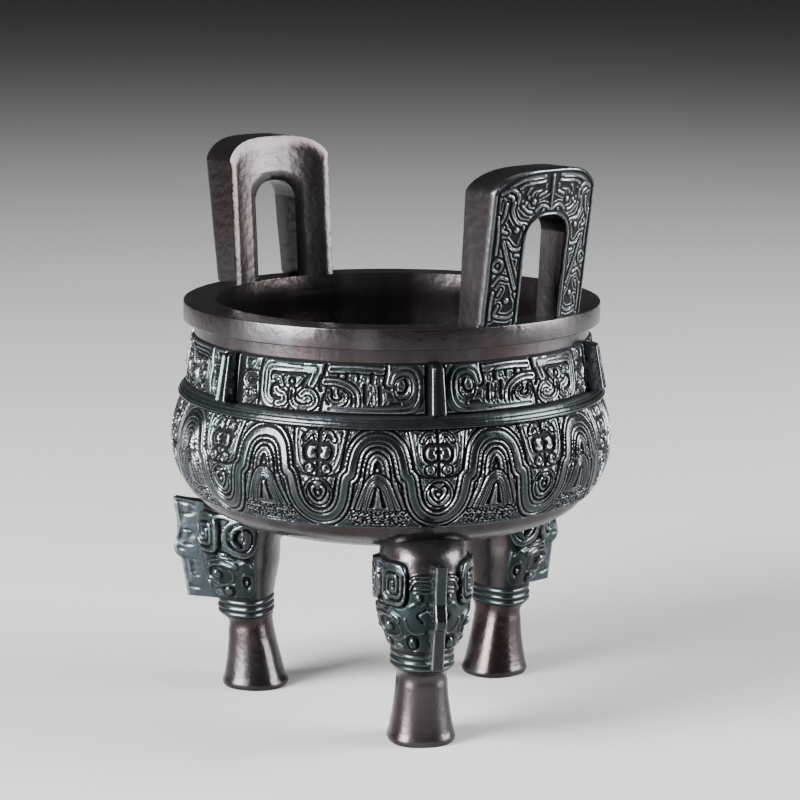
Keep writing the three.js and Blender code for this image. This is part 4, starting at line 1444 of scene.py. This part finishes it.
@dataclass
class Ears:
    """The two upright ears: slabs that follow the rim, with an arched opening down to it."""

    sizes: VesselSizes
    axis_y: float
    half_width: float = 19.6
    thickness: float = 8.9
    outer_lean: float = 0.135
    inner_lean: float = 0.06
    shoulder_drop: float = 6.4
    opening_half_width: float = 7.9
    opening_height: float = 30.4
    relief: float = 0.55
    columns: int = 420
    face_rows: int = 44
    side_share: float = 0.36
    root: float = 1.6
    edge_bend: float = 0.8

    @property
    def height(self) -> float:
        """Height of the ears above the rim."""
        return self.sizes.ear_height

    def outline(self, v: float) -> Array:
        """The curve at a share v of the way from the opening's edge to the ear's edge, foot to foot.

        Straight up each side, then over an arch whose height falls with a power of the distance from
        the middle.
        """
        tau = np.linspace(0, 1, self.columns)
        side = self.side_share
        opening = (self.opening_half_width, self.opening_height, 5.8, 2.6, 1.7)
        edge = (self.half_width, self.height, self.shoulder_drop, 3.2, 1.45)
        t = -np.cos(np.pi * np.clip((tau - side) / (1 - 2 * side), 0, 1))
        rise = np.clip(np.minimum(tau, 1 - tau) / side, 0, 1)
        curves = []
        for half, top, drop, power, blunt in (opening, edge):
            arch = top - drop + drop * np.clip(1 - np.abs(t) ** power, 0, 1) ** (1 / blunt)
            h = np.where(rise < 1, -self.root + (top - drop + self.root) * rise, arch)
            curves.append(np.stack([half * t, h], -1))
        return curves[0] + (curves[1] - curves[0]) * v

    def one(self, way: int, sheet: CarvingSheet) -> Skin:
        """One ear: a section through its thickness carried from foot to foot over the arch.

        Args:
            way: 1 for the ear towards +X, -1 for the other.
            sheet: The carving of its outer face.

        Returns:
            The closed skin.
        """
        n = self.face_rows
        rows = np.concatenate([np.linspace(0, 1, n), np.ones(5), np.linspace(1, 0, 9), np.zeros(5)])
        wall = np.linspace(1, 0, 7)[1:-1]
        depth = np.concatenate([np.ones(n), wall, np.zeros(9), np.linspace(0, 1, 7)[1:-1]])
        inner, outer = self.outline(0.0), self.outline(1.0)
        flat = inner[:, None, :] + (outer - inner)[:, None, :] * rows[None, :, None]
        y, h = flat[..., 0], flat[..., 1]
        front = (np.arange(len(rows)) < n)[None, :]
        u = np.abs(y)
        cut = sheet.sample(u, h) * ramp((h - 0.15) / 0.5)
        wide = np.hypot(*(outer - inner).T)[:, None]
        to_edge = np.minimum(rows, 1 - rows)[None, :] * wide
        bend = self.edge_bend
        round_off = bend * (1 - np.sqrt(np.clip(1 - (1 - np.clip(to_edge / bend, 0, 1)) ** 2, 0, 1)))
        s = self.sizes
        outer_radius = s.rim_radius - 0.3 + self.outer_lean * h
        inner_radius = s.rim_radius - 0.2 - self.thickness + self.inner_lean * h
        radius = inner_radius + (outer_radius - inner_radius) * depth[None, :]
        radius = radius + np.where(front, self.relief * cut - round_off, 0)
        back = (depth == 0)[None, :]
        radius = radius + np.where(back, round_off, 0)
        x = np.sqrt(radius**2 - y**2)
        points = np.stack([way * x, way * y + self.axis_y, s.rim_top + h], -1)
        wave = unevenness(points, 14, 0.07, 2.0)
        points[..., 0] += wave
        stand = np.where(front, sheet.sample(u, h, sheet.stand), 0.0)
        level = np.where(front, sheet.sample(u, h, sheet.tone), 1.0)
        zone = np.where(front & (to_edge > 0.25), Zone.CARVED.value, Zone.PLAIN.value)
        return Skin(points, level, stand, zone, round_columns=False, round_rows=True)

    def build(self, material: bpy.types.Material) -> list[bpy.types.Object]:
        """Makes both ears."""
        sheet = EarCarving(self).draw()
        names = {1: "ear_right", -1: "ear_left"}
        return [make_piece(names[way], [self.one(way, sheet)], material, 45) for way in (1, -1)]


# The studio


@dataclass
class Studio:
    """Camera, floor and lights."""

    axis_y: float
    azimuth: float = 48.234
    distance: float = 833.155
    camera_height: float = 247.276
    pitch: float = 10.575
    roll: float = 0.261
    focal_pixels: float = 2823.93
    picture: float = 800.0
    centre: tuple[float, float] = (393.821, 401.099)
    sensor: float = 36.0
    floor_half: float = 8.0
    floor_colour: Triple = (0.3, 0.297, 0.293)
    sky_colour: Triple = (0.62, 0.64, 0.67)
    sky_strength: float = 0.07
    aim_height: float = 0.08

    def camera(self) -> None:
        """Places the camera where the photograph was taken from, with its lens and small shift."""
        lens = bpy.data.cameras.new("photo_camera")
        lens.sensor_width = self.sensor
        lens.lens = self.focal_pixels / self.picture * lens.sensor_width
        lens.shift_x = -(self.centre[0] - self.picture / 2) / self.picture
        lens.shift_y = (self.centre[1] - self.picture / 2) / self.picture
        lens.clip_start = 0.01
        camera = bpy.data.objects.new("photo_camera", lens)
        bpy.context.scene.collection.objects.link(camera)
        a = math.radians(self.azimuth)
        back = -self.distance * math.cos(a) + self.axis_y
        place = (self.distance * math.sin(a), back, self.camera_height)
        camera.location = [p * MM for p in place]
        camera.rotation_euler = (math.radians(90 - self.pitch), -math.radians(self.roll), a)
        bpy.context.scene.camera = camera

    def floor(self) -> None:
        """A plain pale floor."""
        made = bpy.data.materials.new("pale_floor")
        made.use_nodes = True
        shader = made.node_tree.nodes["Principled BSDF"]
        shader.inputs["Base Color"].default_value = (*self.floor_colour, 1)
        shader.inputs["Roughness"].default_value = 0.6
        mesh = bpy.data.meshes.new("floor")
        half = self.floor_half
        corners = [(-half, -half, 0), (half, -half, 0), (half, half, 0), (-half, half, 0)]
        mesh.from_pydata(corners, [], [(0, 1, 2, 3)])
        mesh.materials.append(made)
        floor = bpy.data.objects.new("floor", mesh)
        bpy.context.scene.collection.objects.link(floor)

    def light(self, name: str, bearing: float, height: float, away: float, size: tuple[float, float],
              power: float) -> None:
        """A soft box that faces the vessel.

        Args:
            name: Its name.
            bearing: Angle in degrees to the right of the camera's own bearing.
            height: Height above the floor in metres.
            away: Distance from the vessel in metres.
            size: Width and height in metres.
            power: Power in watts.
        """
        data = bpy.data.lights.new(name, "AREA")
        data.shape = "RECTANGLE"
        data.size, data.size_y = size
        data.energy = power
        lamp = bpy.data.objects.new(name, data)
        bpy.context.scene.collection.objects.link(lamp)
        a = math.radians(self.azimuth + bearing)
        lamp.location = (away * math.sin(a), -away * math.cos(a), height)
        lamp.rotation_euler = (math.atan2(away, height - self.aim_height), 0, a)

    def world(self) -> None:
        """An even soft grey around the scene."""
        world = bpy.data.worlds.new("soft_grey")
        world.use_nodes = True
        back = world.node_tree.nodes["Background"]
        back.inputs["Color"].default_value = (*self.sky_colour, 1)
        back.inputs["Strength"].default_value = self.sky_strength
        bpy.context.scene.world = world

    def build(self) -> None:
        """Sets up the whole studio."""
        self.camera()
        self.floor()
        self.world()
        self.light("left_box", -57, 0.5, 1.15, (0.6, 1.0), 160)
        self.light("right_box", 88, 0.52, 1.2, (0.8, 1.0), 100)
        self.light("top_box", 170, 1.5, 0.6, (0.8, 0.8), 5)


def plain(bounds: object) -> list[list[float]]:
    """Two corners as plain lists of numbers."""
    return [[float(value) for value in corner] for corner in bounds]


def main() -> None:
    """Builds the vessel's pieces in order."""
    logging.basicConfig(level=logging.INFO, format="%(message)s")
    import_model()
    sizes = VesselSizes()
    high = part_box(NODE)[1]
    axis_y = high.y / MM - sizes.leg_circle_radius - sizes.leg_flange_reach
    Studio(axis_y).build()
    bronze = bronze_material(BronzeFinish())
    Shell(sizes, axis_y).build(bronze)
    bands = CarvedBands(sizes, axis_y)
    bands.neck(bronze)
    bands.belly(bronze)
    NeckFlanges(sizes, axis_y).build(bronze)
    MaskLegs(sizes, axis_y).build(bronze)
    Ears(sizes, axis_y).build(bronze)


if __name__ == "__main__":
    main()
